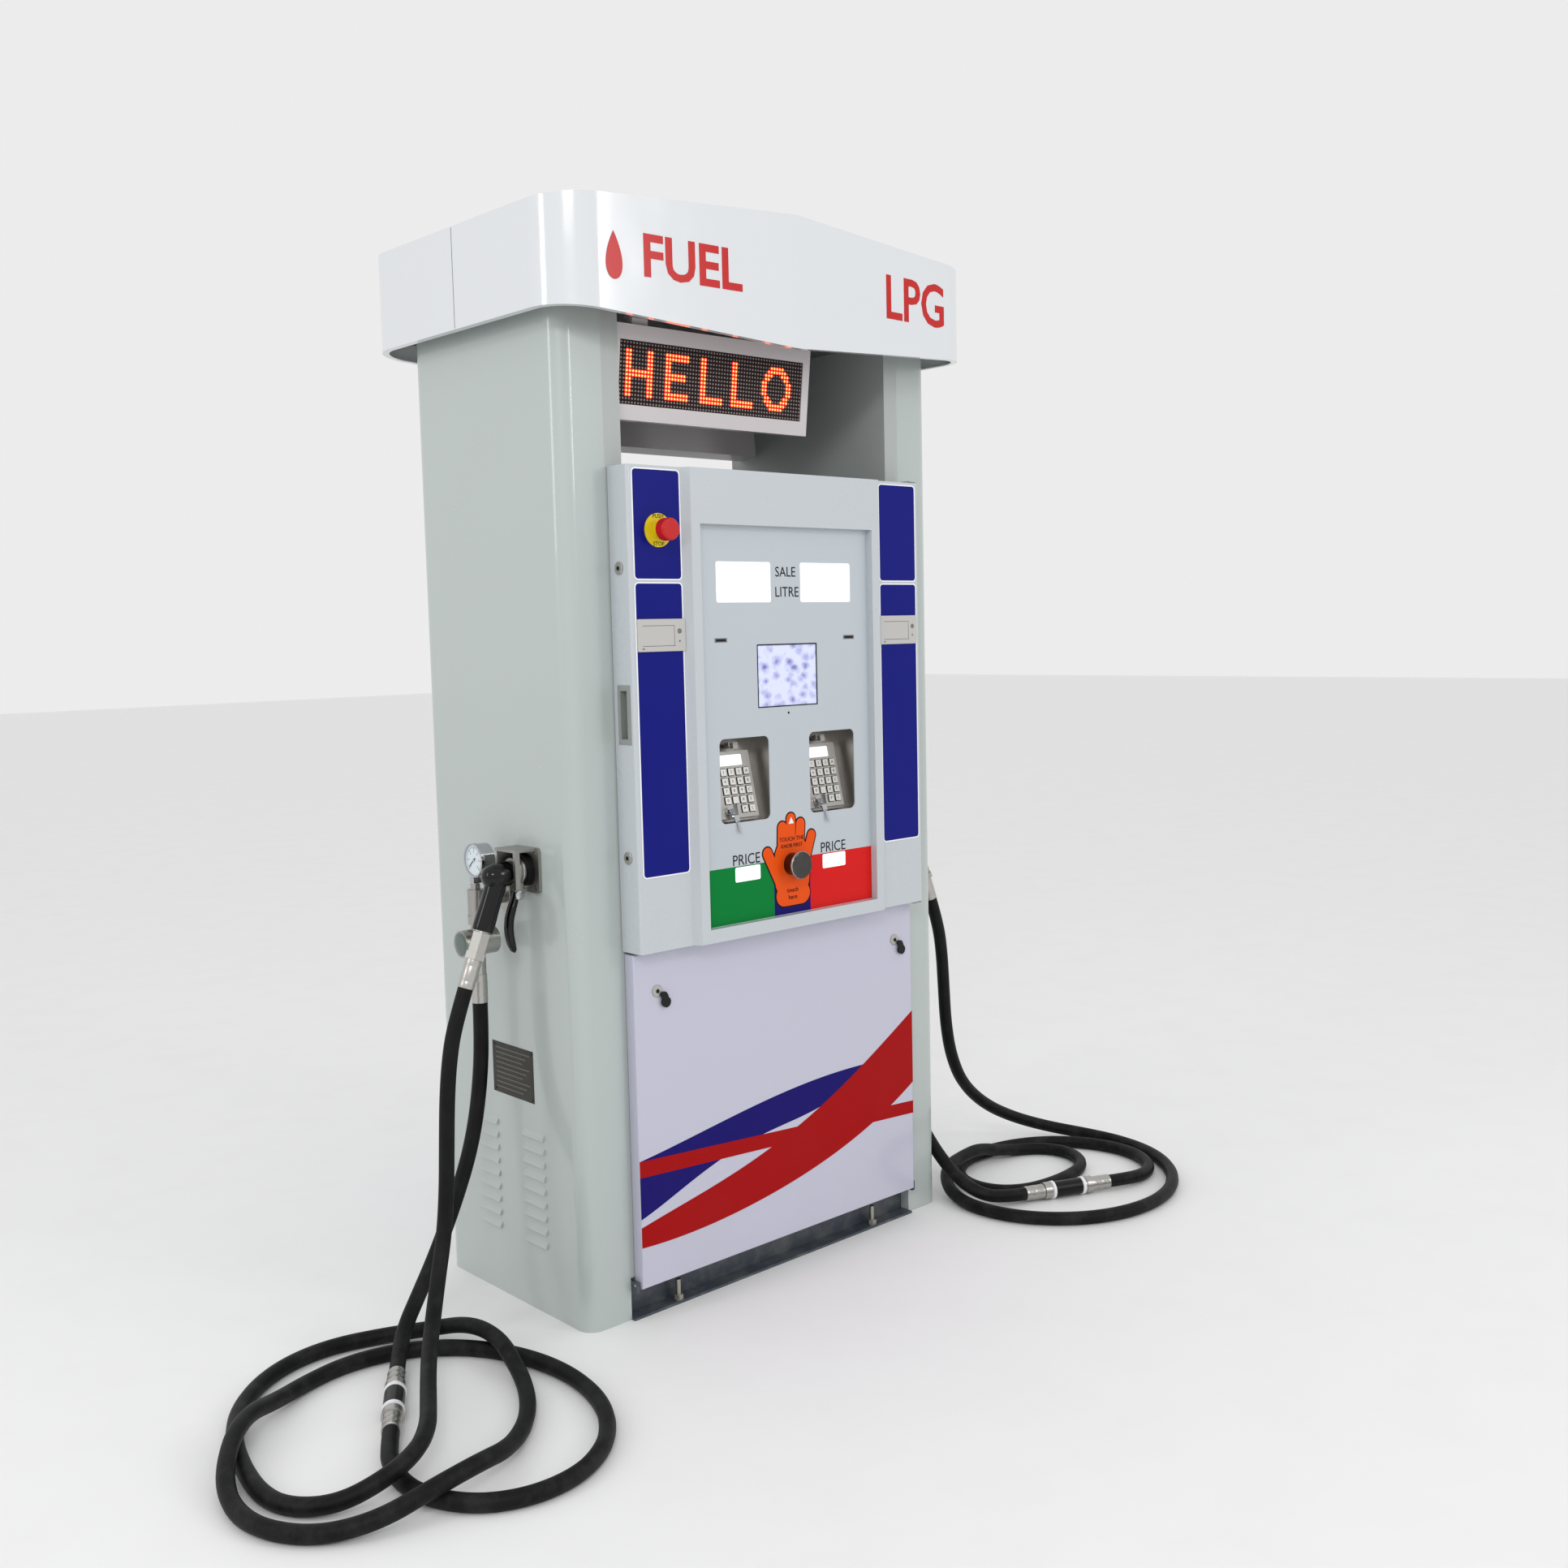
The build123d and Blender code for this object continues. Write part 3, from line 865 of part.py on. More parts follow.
with BuildPart() as left_outlet:
    rod((PANEL_X, OUTLET_Y, OUTLET_Z), (PANEL_X - 5, OUTLET_Y, OUTLET_Z), 26)
    rod((PANEL_X - 5, OUTLET_Y, OUTLET_Z), (OUTLET_X, OUTLET_Y, OUTLET_Z), OUTLET_PIPE_R)
    rod((OUTLET_X, OUTLET_Y, OUTLET_Z - 26), (OUTLET_X, OUTLET_Y, OUTLET_Z + 22), OUTLET_PIPE_R + 4)
    hexagon((OUTLET_X, OUTLET_Y, OUTLET_Z + 22), (OUTLET_X, OUTLET_Y, OUTLET_Z + 32), 10)
    hexagon((OUTLET_X, OUTLET_Y, OUTLET_Z - 42), (OUTLET_X, OUTLET_Y, OUTLET_Z - 26), 18)
    rod((PANEL_X + SHEET + 30, OUTLET_Y, OUTLET_Z), (PANEL_X, OUTLET_Y, OUTLET_Z), OUTLET_PIPE_R)
    rod((OUTLET_X, OUTLET_Y, SIGHT_Z + SIGHT_R - 3), (OUTLET_X, OUTLET_Y, OUTLET_Z - 42), OUTLET_PIPE_R)
with BuildPart() as left_sight:
    rod((OUTLET_X - SIGHT_HALF_LENGTH, OUTLET_Y, SIGHT_Z), (OUTLET_X + SIGHT_HALF_LENGTH, OUTLET_Y, SIGHT_Z), SIGHT_R)
    for end in (-1, 1):
        rod((OUTLET_X + end * (SIGHT_HALF_LENGTH - 3), OUTLET_Y, SIGHT_Z),
            (OUTLET_X + end * (SIGHT_HALF_LENGTH + 1), OUTLET_Y, SIGHT_Z), SIGHT_R - 2, Mode.SUBTRACT)
    rod((OUTLET_X, OUTLET_Y, SIGHT_Z + SIGHT_R - 3.1), (OUTLET_X, OUTLET_Y, SIGHT_Z + SIGHT_R + 12), OUTLET_PIPE_R + 0.1,
        Mode.SUBTRACT)
    rod((OUTLET_X, OUTLET_Y, HOSE_TOP_Z + FERRULE_LENGTH), (OUTLET_X, OUTLET_Y, SIGHT_Z - SIGHT_R + 3),
        OUTLET_PIPE_R + 3)
    rod((OUTLET_X, OUTLET_Y, HOSE_TOP_Z), (OUTLET_X, OUTLET_Y, HOSE_TOP_Z + FERRULE_LENGTH), FERRULE_R)
    fillet(edges().filter_by(GeomType.CIRCLE).sort_by(Axis.Z)[0], 1.0)
with BuildPart() as left_sight_glasses:
    for end in (-1, 1):
        rod((OUTLET_X + end * (SIGHT_HALF_LENGTH - 3 + SEAT_GAP), OUTLET_Y, SIGHT_Z),
            (OUTLET_X + end * (SIGHT_HALF_LENGTH + 1), OUTLET_Y, SIGHT_Z), SIGHT_R - 2 - SEAT_GAP)
with BuildPart() as left_gauge:
    rod((OUTLET_X + 26, OUTLET_Y, GAUGE_Z), (OUTLET_X, OUTLET_Y, GAUGE_Z), GAUGE_R - 1.5)
    rod((OUTLET_X + 4, OUTLET_Y, GAUGE_Z), (OUTLET_X - 3, OUTLET_Y, GAUGE_Z), GAUGE_R)
    rod((OUTLET_X, OUTLET_Y, GAUGE_Z), (OUTLET_X - 4, OUTLET_Y, GAUGE_Z), GAUGE_R - 3, Mode.SUBTRACT)
    rod((OUTLET_X + 13, OUTLET_Y, OUTLET_Z + 36), (OUTLET_X + 13, OUTLET_Y, GAUGE_Z - GAUGE_R + 4), 6)
    rod((OUTLET_X, OUTLET_Y, OUTLET_Z + 32), (OUTLET_X, OUTLET_Y, OUTLET_Z + 44), 7)
    block((OUTLET_X - 7, OUTLET_X + 19), (OUTLET_Y - 7, OUTLET_Y + 7), (OUTLET_Z + 34, OUTLET_Z + 44))
keep("outlet_manifolds", both_sides(left_outlet.part))
keep("sight_glasses", both_sides(left_sight.part, left_sight_glasses.part))
keep("pressure_gauges", both_sides(left_gauge.part))

# ================= nozzles =================
GRIP_AXIS = Vector(-sin(radians(GRIP_TURN)), 0, -cos(radians(GRIP_TURN)))
GRIP_START = Vector(GRIP_TOP[0], BOOT_Y, GRIP_TOP[1])
GRIP_END = 102.0
SWIVEL_START = 104.0
SWIVEL_BODY = 36.0
SWIVEL_NUT = 13.0
FERRULE_END = SWIVEL_START + SWIVEL_BODY + SWIVEL_NUT + FERRULE_LENGTH


def along_grip(distance):
    """A point on the grip's axis, measured from the middle of the nozzle's head."""
    place = GRIP_START + GRIP_AXIS * distance
    return (place.X, place.Y, place.Z)


NECK_X = PANEL_X - BOOT_FLANGE_THICK
with BuildPart() as left_nozzle:
    rod((NECK_X - 3.02, BOOT_Y, BOOT_Z), (NECK_X - 16, BOOT_Y, BOOT_Z), SPIGOT_R)
    rod((NECK_X - 14, BOOT_Y, BOOT_Z), (NECK_X - 34, BOOT_Y, BOOT_Z), COUPLING_R)
    fillet(edges().filter_by(GeomType.CIRCLE).group_by(Axis.X)[0], 2)
    rod((NECK_X - 34, BOOT_Y, BOOT_Z - 2), (GRIP_TOP[0], BOOT_Y, GRIP_TOP[1]), COUPLING_R - 3)
    with Locations((GRIP_TOP[0] - 6, BOOT_Y, GRIP_TOP[1])):
        Sphere(COUPLING_R - 2)
    rod(along_grip(0), along_grip(GRIP_END), GRIP_R)
    rod(along_grip(GRIP_END - 6), along_grip(SWIVEL_START + 12), 9)
    block((NECK_X - 30, NECK_X - 18), (BOOT_Y - 12, BOOT_Y - 9.3), (TRIGGER_PIVOT[1] - 7, BOOT_Z - 12))
    block((NECK_X - 30, NECK_X - 18), (BOOT_Y + 9.3, BOOT_Y + 12), (TRIGGER_PIVOT[1] - 7, BOOT_Z - 12))
    rod((TRIGGER_PIVOT[0], BOOT_Y - 13, TRIGGER_PIVOT[1]), (TRIGGER_PIVOT[0], BOOT_Y + 13, TRIGGER_PIVOT[1]),
        TRIGGER_PIN_R)
    block((NECK_X - 21, NECK_X - 14), (BOOT_Y - 12, BOOT_Y + 12), (BOOT_Z - 36, BOOT_Z - 18))
    rod((NECK_X - 14, BOOT_Y, TRIGGER_PIVOT[1] + 6), (NECK_X - 6, BOOT_Y, TRIGGER_PIVOT[1] + 6), 6)
keep("left_nozzle", left_nozzle.part)
keep("right_nozzle", mirrored(left_nozzle.part))

with BuildPart() as left_swivel:
    hexagon(along_grip(SWIVEL_START), along_grip(SWIVEL_START + SWIVEL_BODY), 17)
    hexagon(along_grip(SWIVEL_START + SWIVEL_BODY), along_grip(SWIVEL_START + SWIVEL_BODY + SWIVEL_NUT), 19.5)
    rod(along_grip(SWIVEL_START + SWIVEL_BODY + SWIVEL_NUT), along_grip(FERRULE_END), FERRULE_R)
    rod(along_grip(SWIVEL_START - 1), along_grip(SWIVEL_START + 13), 9 + SWIVEL_CLEARANCE, Mode.SUBTRACT)
keep("left_swivel", left_swivel.part)
keep("right_swivel", mirrored(left_swivel.part))

with BuildPart() as left_trigger:
    with BuildSketch(Plane.XZ.offset(-BOOT_Y - 9)):
        with BuildLine():
            x, z = TRIGGER_PIVOT
            outer_edge = Spline((x + 5, z + 2), (x + 1, z - 30), (x - 4, z - 66), (x - 15, z - 107))
            tip = Line(outer_edge @ 1, (x - 26, z - 104))
            inner_edge = Spline(tip @ 1, (x - 19, z - 66), (x - 12, z - 30), (x - 6, z - 4))
            Line(inner_edge @ 1, outer_edge @ 0)
        make_face()
        with Locations((x, z)):
            Circle(6.5)
    extrude(amount=18)
    rod((TRIGGER_PIVOT[0], BOOT_Y - 14, TRIGGER_PIVOT[1]), (TRIGGER_PIVOT[0], BOOT_Y + 14, TRIGGER_PIVOT[1]),
        TRIGGER_PIN_R + 0.05, Mode.SUBTRACT)
keep("left_trigger", left_trigger.part)
keep("right_trigger", mirrored(left_trigger.part))

# ================= inside the cabinet =================
SEPARATOR_R = 85.0
SEPARATOR_Y = 90.0
SEPARATOR_TOP = 420.0
METER_X = -220.0
METER_R = 68.0
METER_Z = (300.0, 410.0)
INLET_X = -90.0
INLET_R = 16.7
RETURN_X = 90.0
RETURN_R = 10.7
FEED_Z = 350.0
WALL_CROSSING_Z = 500.0
COLUMN_PIPE_X = -408.0
with BuildPart() as gas_separator:
    rod((0, SEPARATOR_Y, BASE_HEIGHT), (0, SEPARATOR_Y, SEPARATOR_TOP), SEPARATOR_R)
    fillet(faces().sort_by(Axis.Z)[-1].edges(), 30)
    rod((0, SEPARATOR_Y, SEPARATOR_TOP - 5), (0, SEPARATOR_Y, SEPARATOR_TOP + 20), 18)
keep("gas_separator", gas_separator.part)

with BuildPart() as left_meter:
    rod((METER_X, OUTLET_Y, BASE_HEIGHT), (METER_X, OUTLET_Y, METER_Z[0]), 25)
    rod((METER_X, OUTLET_Y, METER_Z[0]), (METER_X, OUTLET_Y, METER_Z[1]), METER_R)
    rod((METER_X, OUTLET_Y, METER_Z[1]), (METER_X, OUTLET_Y, METER_Z[1] + 20), 30)
keep("flow_meters", both_sides(left_meter.part))


def pipe(points, bends, radius):
    """A rigid pipe through the points, with one bend radius for each corner."""
    with BuildLine() as path:
        FilletPolyline(*points, radius=bends)
    with BuildSketch(Plane(origin=points[0], z_dir=path.line % 0)) as section:
        Circle(radius)
    return sweep(section.sketch, path=path.line)


PIPE_BEND = 34.0
PIPE_SHORT_BEND = 26.0
reach = Vector(METER_X, OUTLET_Y - SEPARATOR_Y, 0)
heading = reach.normalized()
feed_start = Vector(0, SEPARATOR_Y, FEED_Z) + heading * SEPARATOR_R
feed_end = Vector(METER_X, OUTLET_Y, FEED_Z) - heading * METER_R
inlet_heading = Vector(-INLET_X, SEPARATOR_Y, 0).normalized()
inlet_end = Vector(0, SEPARATOR_Y, 200) - inlet_heading * SEPARATOR_R
outlet_route = [(METER_X, OUTLET_Y, METER_Z[1] + 20), (METER_X, OUTLET_Y, WALL_CROSSING_Z),
                (COLUMN_PIPE_X, OUTLET_Y, WALL_CROSSING_Z), (COLUMN_PIPE_X, OUTLET_Y, OUTLET_Z),
                (PANEL_X + SHEET + 30, OUTLET_Y, OUTLET_Z)]
with BuildPart() as left_pipes:
    add(pipe(outlet_route, [PIPE_BEND, PIPE_BEND, PIPE_SHORT_BEND], OUTLET_PIPE_R))
    rod(tuple(feed_start), tuple(feed_end), OUTLET_PIPE_R)
    block((METER_X - 100, METER_X - 50), (OUTLET_Y - 24, OUTLET_Y + 24), (WALL_CROSSING_Z - 20, WALL_CROSSING_Z + 50))
    rod((METER_X - 75, OUTLET_Y, WALL_CROSSING_Z + 50), (METER_X - 75, OUTLET_Y, WALL_CROSSING_Z + 95), 20)
inlet_pipe = pipe([(INLET_X, 0, 0), (INLET_X, 0, 200), tuple(inlet_end)], [PIPE_SHORT_BEND], INLET_R)
return_route = [(RETURN_X, 0, 0), (RETURN_X, 0, 480), (0, SEPARATOR_Y, 480), (0, SEPARATOR_Y, SEPARATOR_TOP + 20)]
return_pipe = pipe(return_route, [PIPE_BEND, PIPE_SHORT_BEND], RETURN_R)
keep("process_pipes", group(both_sides(left_pipes.part), inlet_pipe, return_pipe))

with BuildPart() as junction_box:
    block((-190, 190), (-80, 80), (BARRIER_Z + SHEET, BARRIER_Z + SHEET + 150))
    fillet(edges().filter_by(Axis.Z), 8)
    block((-200, 200), (-90, 90), (BARRIER_Z + SHEET + 150, BARRIER_Z + SHEET + 158))
keep("junction_box", junction_box.part)


# ================= hoses =================
def bend_radii(points):
    """The largest arc that each corner's two runs allow."""
    radii = []
    for before, corner, after in zip(points, points[1:], points[2:]):
        run_in = Vector(*corner) - Vector(*before)
        run_out = Vector(*after) - Vector(*corner)
        half_turn = radians(run_in.get_angle(run_out)) / 2
        radii.append(HOSE_ARC_SHARE * min(run_in.length, run_out.length) / tan(half_turn))
    return radii


def hose(name, points):
    radii = bend_radii(points)
    with BuildLine() as path:
        FilletPolyline(*points, radius=radii)
    with BuildPart() as tube:
        with BuildSketch(Plane(origin=points[0], z_dir=path.line % 0)):
            Circle(HOSE_R)
        sweep(path=path.line)
    length = sum(edge.length for edge in path.line.edges())
    ideal = pi * HOSE_R ** 2 * length
    print(name, "length", round(length, 1), "least radius", round(min(radii), 1),
          "volume over section times length", round(tube.part.volume / ideal, 5))
    keep(name, tube.part)


def right_point(point):
    return (-point[0], point[1], point[2])


HOSE_LEAD = 75.0            # straight stretch of hose below a nozzle's ferrule
left_end = [along_grip(FERRULE_END + HOSE_LEAD), along_grip(FERRULE_END)]
hose("left_hose", LEFT_HOSE_ROUTE + left_end)
hose("left_tail_hose", LEFT_TAIL_ROUTE)
hose("right_hose", RIGHT_HOSE_ROUTE + [right_point(p) for p in left_end])
hose("right_tail_hose", RIGHT_TAIL_ROUTE)


def breakaway(name, start, end):
    """The coupling that parts if a vehicle drives off: two crimped ends and a two-piece body."""
    axis = Vector(*end) - Vector(*start)
    step = axis.normalized()

    def at(distance):
        return tuple(Vector(*start) + step * distance)

    long = axis.length
    with BuildPart() as coupling:
        rod(at(0), at(45), FERRULE_R)
        hexagon(at(45), at(58), FERRULE_R + 4)
        rod(at(58), at(long - 58), BREAKAWAY_R - 3)
        rod(at(long / 2 - 18), at(long / 2 + 18), BREAKAWAY_R)
        hexagon(at(long - 58), at(long - 45), FERRULE_R + 4)
        rod(at(long - 45), at(long), FERRULE_R)
    keep(name, coupling.part)


breakaway("left_breakaway", LEFT_TAIL_ROUTE[-1], LEFT_HOSE_ROUTE[0])
breakaway("right_breakaway", RIGHT_TAIL_ROUTE[-1], RIGHT_HOSE_ROUTE[0])

os.makedirs("parts", exist_ok=True)
for name, part in PIECES.items():
    export_step(part, "parts/" + name + ".step")
print(len(PIECES), "pieces written")
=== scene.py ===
import bpy
import math
import numpy as np
from mathutils import Matrix, Vector


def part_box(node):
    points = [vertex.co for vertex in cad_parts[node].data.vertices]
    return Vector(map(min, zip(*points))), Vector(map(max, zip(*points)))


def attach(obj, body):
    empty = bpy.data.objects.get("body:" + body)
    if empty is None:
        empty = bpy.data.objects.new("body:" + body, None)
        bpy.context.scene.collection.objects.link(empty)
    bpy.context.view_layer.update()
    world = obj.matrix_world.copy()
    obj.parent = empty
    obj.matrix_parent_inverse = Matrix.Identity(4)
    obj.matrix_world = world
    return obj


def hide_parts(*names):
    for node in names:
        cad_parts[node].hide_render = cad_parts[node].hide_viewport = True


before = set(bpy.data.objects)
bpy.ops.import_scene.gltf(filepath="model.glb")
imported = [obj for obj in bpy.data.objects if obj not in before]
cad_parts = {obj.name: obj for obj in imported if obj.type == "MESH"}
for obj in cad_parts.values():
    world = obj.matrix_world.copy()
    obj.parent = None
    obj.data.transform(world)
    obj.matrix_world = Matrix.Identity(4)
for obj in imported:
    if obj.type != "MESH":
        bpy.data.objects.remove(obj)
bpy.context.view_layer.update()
print("frame loaded")

# camera
cameraSet = {"place": (-2.06582, -2.51724, 1.2683), "yaw": 42.71, "pitch": -5.56, "roll": -1.28,
             "lens": 36.157, "sensor": 36, "reach": 60}


def placeCamera():
    # forward is turned by yaw from +Y and raised by pitch; right and up are then rolled about it
    yaw, pitch, roll = (math.radians(cameraSet[k]) for k in ("yaw", "pitch", "roll"))
    forward = np.array([math.sin(yaw) * math.cos(pitch), math.cos(yaw) * math.cos(pitch), math.sin(pitch)])
    right = np.array([math.cos(yaw), -math.sin(yaw), 0])
    up = np.cross(right, forward)
    rolledRight = math.cos(roll) * right + math.sin(roll) * up
    rolledUp = -math.sin(roll) * right + math.cos(roll) * up
    data = bpy.data.cameras.new("camera")
    data.lens = cameraSet["lens"]
    data.sensor_width = cameraSet["sensor"]
    data.clip_end = cameraSet["reach"]
    camera = bpy.data.objects.new("camera", data)
    bpy.context.scene.collection.objects.link(camera)
    columns = np.stack([rolledRight, rolledUp, -forward], axis=1)
    camera.matrix_world = Matrix.Translation(cameraSet["place"]) @ Matrix(columns.tolist()).to_4x4()
    bpy.context.scene.camera = camera


placeCamera()


# shared shader groups
def newGroup(name, inputs, outputs):
    group = bpy.data.node_groups.new(name, "ShaderNodeTree")
    for kind, socketName, value in inputs:
        socket = group.interface.new_socket(socketName, in_out="INPUT", socket_type=kind)
        socket.default_value = value
    for kind, socketName in outputs:
        group.interface.new_socket(socketName, in_out="OUTPUT", socket_type=kind)
    return group, group.nodes.new("NodeGroupInput"), group.nodes.new("NodeGroupOutput")


def mathNode(tree, operation, first, second):
    node = tree.nodes.new("ShaderNodeMath")
    node.operation = operation
    for socket, value in zip(node.inputs, (first, second)):
        if isinstance(value, (int, float)):
            socket.default_value = value
        else:
            tree.links.new(value, socket)
    return node.outputs[0]


def noiseNode(tree, vector, scale, detail=5.0, roughness=0.55):
    node = tree.nodes.new("ShaderNodeTexNoise")
    node.inputs["Scale"].default_value = scale if isinstance(scale, (int, float)) else 1.0
    if not isinstance(scale, (int, float)):
        tree.links.new(scale, node.inputs["Scale"])
    node.inputs["Detail"].default_value = detail
    node.inputs["Roughness"].default_value = roughness
    tree.links.new(vector, node.inputs["Vector"])
    return node.outputs["Fac"]


def makeFinishGroup():
    # colour = paint mixed with dirt where broad noise is high or the piece is near the floor
    floatKind, colorKind = "NodeSocketFloat", "NodeSocketColor"
    group, entry, leave = newGroup("handledFinish", [
        (colorKind, "Paint", (0.8, 0.8, 0.8, 1)), (colorKind, "Dirt", (0.2, 0.18, 0.15, 1)),
        (floatKind, "Dirt Amount", 0.2), (floatKind, "Dirt Scale", 6.0), (floatKind, "Roughness", 0.3),
        (floatKind, "Roughness Spread", 0.1), (floatKind, "Ripple Scale", 3.0), (floatKind, "Ripple", 0.5),
        (floatKind, "Grain Scale", 900.0), (floatKind, "Grain", 0.2)],
        [(colorKind, "Color"), ("NodeSocketFloat", "Roughness"), ("NodeSocketFloat", "Height")])
    place = group.nodes.new("ShaderNodeTexCoord").outputs["Object"]
    split = group.nodes.new("ShaderNodeSeparateXYZ")
    group.links.new(place, split.inputs[0])
    low = group.nodes.new("ShaderNodeMapRange")
    low.inputs["From Min"].default_value = 0.0
    low.inputs["From Max"].default_value = 0.35
    low.inputs["To Min"].default_value = 1.0
    low.inputs["To Max"].default_value = 0.25
    group.links.new(split.outputs["Z"], low.inputs["Value"])
    broad = noiseNode(group, place, entry.outputs["Dirt Scale"], 8, 0.62)
    spotted = group.nodes.new("ShaderNodeMapRange")
    spotted.inputs["From Min"].default_value = 0.45
    spotted.inputs["From Max"].default_value = 0.75
    group.links.new(broad, spotted.inputs["Value"])
    soiled = mathNode(group, "MULTIPLY", spotted.outputs[0], low.outputs[0])
    mask = mathNode(group, "MULTIPLY", soiled, entry.outputs["Dirt Amount"])
    mix = group.nodes.new("ShaderNodeMix")
    mix.data_type = "RGBA"
    group.links.new(mask, mix.inputs["Factor"])
    group.links.new(entry.outputs["Paint"], mix.inputs[6])
    group.links.new(entry.outputs["Dirt"], mix.inputs[7])
    group.links.new(mix.outputs[2], leave.inputs["Color"])
    spread = mathNode(group, "MULTIPLY", broad, entry.outputs["Roughness Spread"])
    rough = mathNode(group, "ADD", entry.outputs["Roughness"], spread)
    group.links.new(rough, leave.inputs["Roughness"])
    ripple = noiseNode(group, place, entry.outputs["Ripple Scale"], 2, 0.5)
    grain = noiseNode(group, place, entry.outputs["Grain Scale"], 3, 0.5)
    height = mathNode(group, "ADD", mathNode(group, "MULTIPLY", ripple, entry.outputs["Ripple"]),
                      mathNode(group, "MULTIPLY", grain, entry.outputs["Grain"]))
    group.links.new(height, leave.inputs["Height"])
    return group


finishGroup = makeFinishGroup()
materials = {}


# finish = paint mixed with soft dirt that thickens near the floor, roughness spread by the same noise,
# and a bump of broad ripple plus fine grain, with drawn lines added where stretch is given
def makeFinish(name, paint, rough=0.3, metal=0.0, coat=0.0, dirt=0.15,
               dirtColor=(0.25, 0.23, 0.2), dirtScale=6.0, spread=0.08, rippleScale=4.0, ripple=0.0,
               grainScale=700.0, grain=0.1, bump=0.0004, glow=None, glowStrength=0.0, stretch=None,
               shine=0.5):
    material = bpy.data.materials.new(name)
    material.use_nodes = True
    tree = material.node_tree
    shader = tree.nodes["Principled BSDF"]
    finish = tree.nodes.new("ShaderNodeGroup")
    finish.node_tree = finishGroup
    values = {"Paint": (*paint, 1), "Dirt": (*dirtColor, 1), "Dirt Amount": dirt, "Dirt Scale": dirtScale,
              "Roughness": rough, "Roughness Spread": spread, "Ripple Scale": rippleScale, "Ripple": ripple,
              "Grain Scale": grainScale, "Grain": grain}
    for key, value in values.items():
        finish.inputs[key].default_value = value
    tree.links.new(finish.outputs["Color"], shader.inputs["Base Color"])
    tree.links.new(finish.outputs["Roughness"], shader.inputs["Roughness"])
    height = finish.outputs["Height"]
    if stretch:
        coordinates = tree.nodes.new("ShaderNodeTexCoord")
        mapping = tree.nodes.new("ShaderNodeMapping")
        mapping.inputs["Scale"].default_value = stretch
        tree.links.new(coordinates.outputs["Object"], mapping.inputs["Vector"])
        lines = noiseNode(tree, mapping.outputs["Vector"], 1.0, 4, 0.6)
        height = mathNode(tree, "ADD", height, lines)
    relief = tree.nodes.new("ShaderNodeBump")
    relief.inputs["Distance"].default_value = bump
    relief.inputs["Strength"].default_value = 0.5
    tree.links.new(height, relief.inputs["Height"])
    tree.links.new(relief.outputs["Normal"], shader.inputs["Normal"])
    shader.inputs["Metallic"].default_value = metal
    shader.inputs["Specular IOR Level"].default_value = shine
    shader.inputs["Coat Weight"].default_value = coat
    shader.inputs["Coat Roughness"].default_value = 0.06
    if glow:
        shader.inputs["Emission Color"].default_value = (*glow, 1)
        shader.inputs["Emission Strength"].default_value = glowStrength
    materials[name] = material
    return material


# painted sheet: gloss coat over paint, a slow ripple in the sheet and faint dirt
makeFinish("canopyPaint", (0.70, 0.72, 0.745), 0.10, coat=0.8, dirt=0.06, ripple=3.0, rippleScale=5.0,
           bump=0.0015)
makeFinish("cabinetPaint", (0.455, 0.505, 0.49), 0.22, coat=0.5, dirt=0.10, ripple=1.5, rippleScale=3.5,
           bump=0.0010)
makeFinish("doorPaint", (0.52, 0.555, 0.585), 0.24, coat=0.5, dirt=0.06, ripple=1.0, rippleScale=4,
           bump=0.0008)
makeFinish("facePaint", (0.49, 0.535, 0.575), 0.28, coat=0.4, dirt=0.04, ripple=0.5, bump=0.0006)
makeFinish("panelPaint", (0.52, 0.52, 0.63), 0.26, coat=0.6, dirt=0.06, ripple=0.8, bump=0.0008)
makeFinish("innerPaint", (0.42, 0.45, 0.44), 0.40, dirt=0.25, bump=0.0006)
# canopy underside: the cabinet's greenish grey darkened to about a third as painted shade under the canopy,
# with dirt noise over it
makeFinish("soffitPaintedShade", (0.13, 0.15, 0.135), 0.45, dirt=0.30, bump=0.0006)
# floor frame: dark paint under heavy dust
makeFinish("basePaint", (0.045, 0.058, 0.075), 0.38, coat=0.2, dirt=0.55, dirtColor=(0.22, 0.21, 0.19),
           dirtScale=18)
# metals: a tint, fine dirt, and drawn or cast grain
makeFinish("zincPlate", (0.44, 0.43, 0.38), 0.36, metal=1.0, dirt=0.35, dirtColor=(0.3, 0.27, 0.2),
           dirtScale=60)
makeFinish("brushedStainless", (0.40, 0.385, 0.365), 0.27, metal=1.0, dirt=0.2, dirtColor=(0.3, 0.29, 0.27),
           dirtScale=30, spread=0.2, stretch=(30, 900, 900), bump=0.00006)
makeFinish("castStainless", (0.36, 0.355, 0.335), 0.30, metal=1.0, dirt=0.3, dirtColor=(0.25, 0.24, 0.22),
           dirtScale=45, spread=0.2, grain=1.0, grainScale=450, bump=0.0003)
makeFinish("turnedMetal", (0.46, 0.45, 0.425), 0.22, metal=1.0, dirt=0.25, dirtScale=60, spread=0.2,
           stretch=(40, 40, 900), bump=0.00002)
makeFinish("keyMetal", (0.66, 0.65, 0.62), 0.30, metal=1.0, dirt=0.25, dirtScale=120, spread=0.15)
makeFinish("crimpMetal", (0.50, 0.485, 0.455), 0.27, metal=1.0, dirt=0.3, dirtScale=80, spread=0.12,
           bump=0.00001)
makeFinish("darkChrome", (0.085, 0.08, 0.078), 0.10, metal=1.0, dirt=0.3, dirtColor=(0.3, 0.29, 0.28),
           dirtScale=35)
makeFinish("handleGrey", (0.33, 0.35, 0.335), 0.38, metal=0.35, dirt=0.2, dirtScale=50)
makeFinish("mirrorChrome", (0.52, 0.53, 0.55), 0.05, metal=1.0, dirt=0.08, dirtScale=40, spread=0.05,
           grain=0)
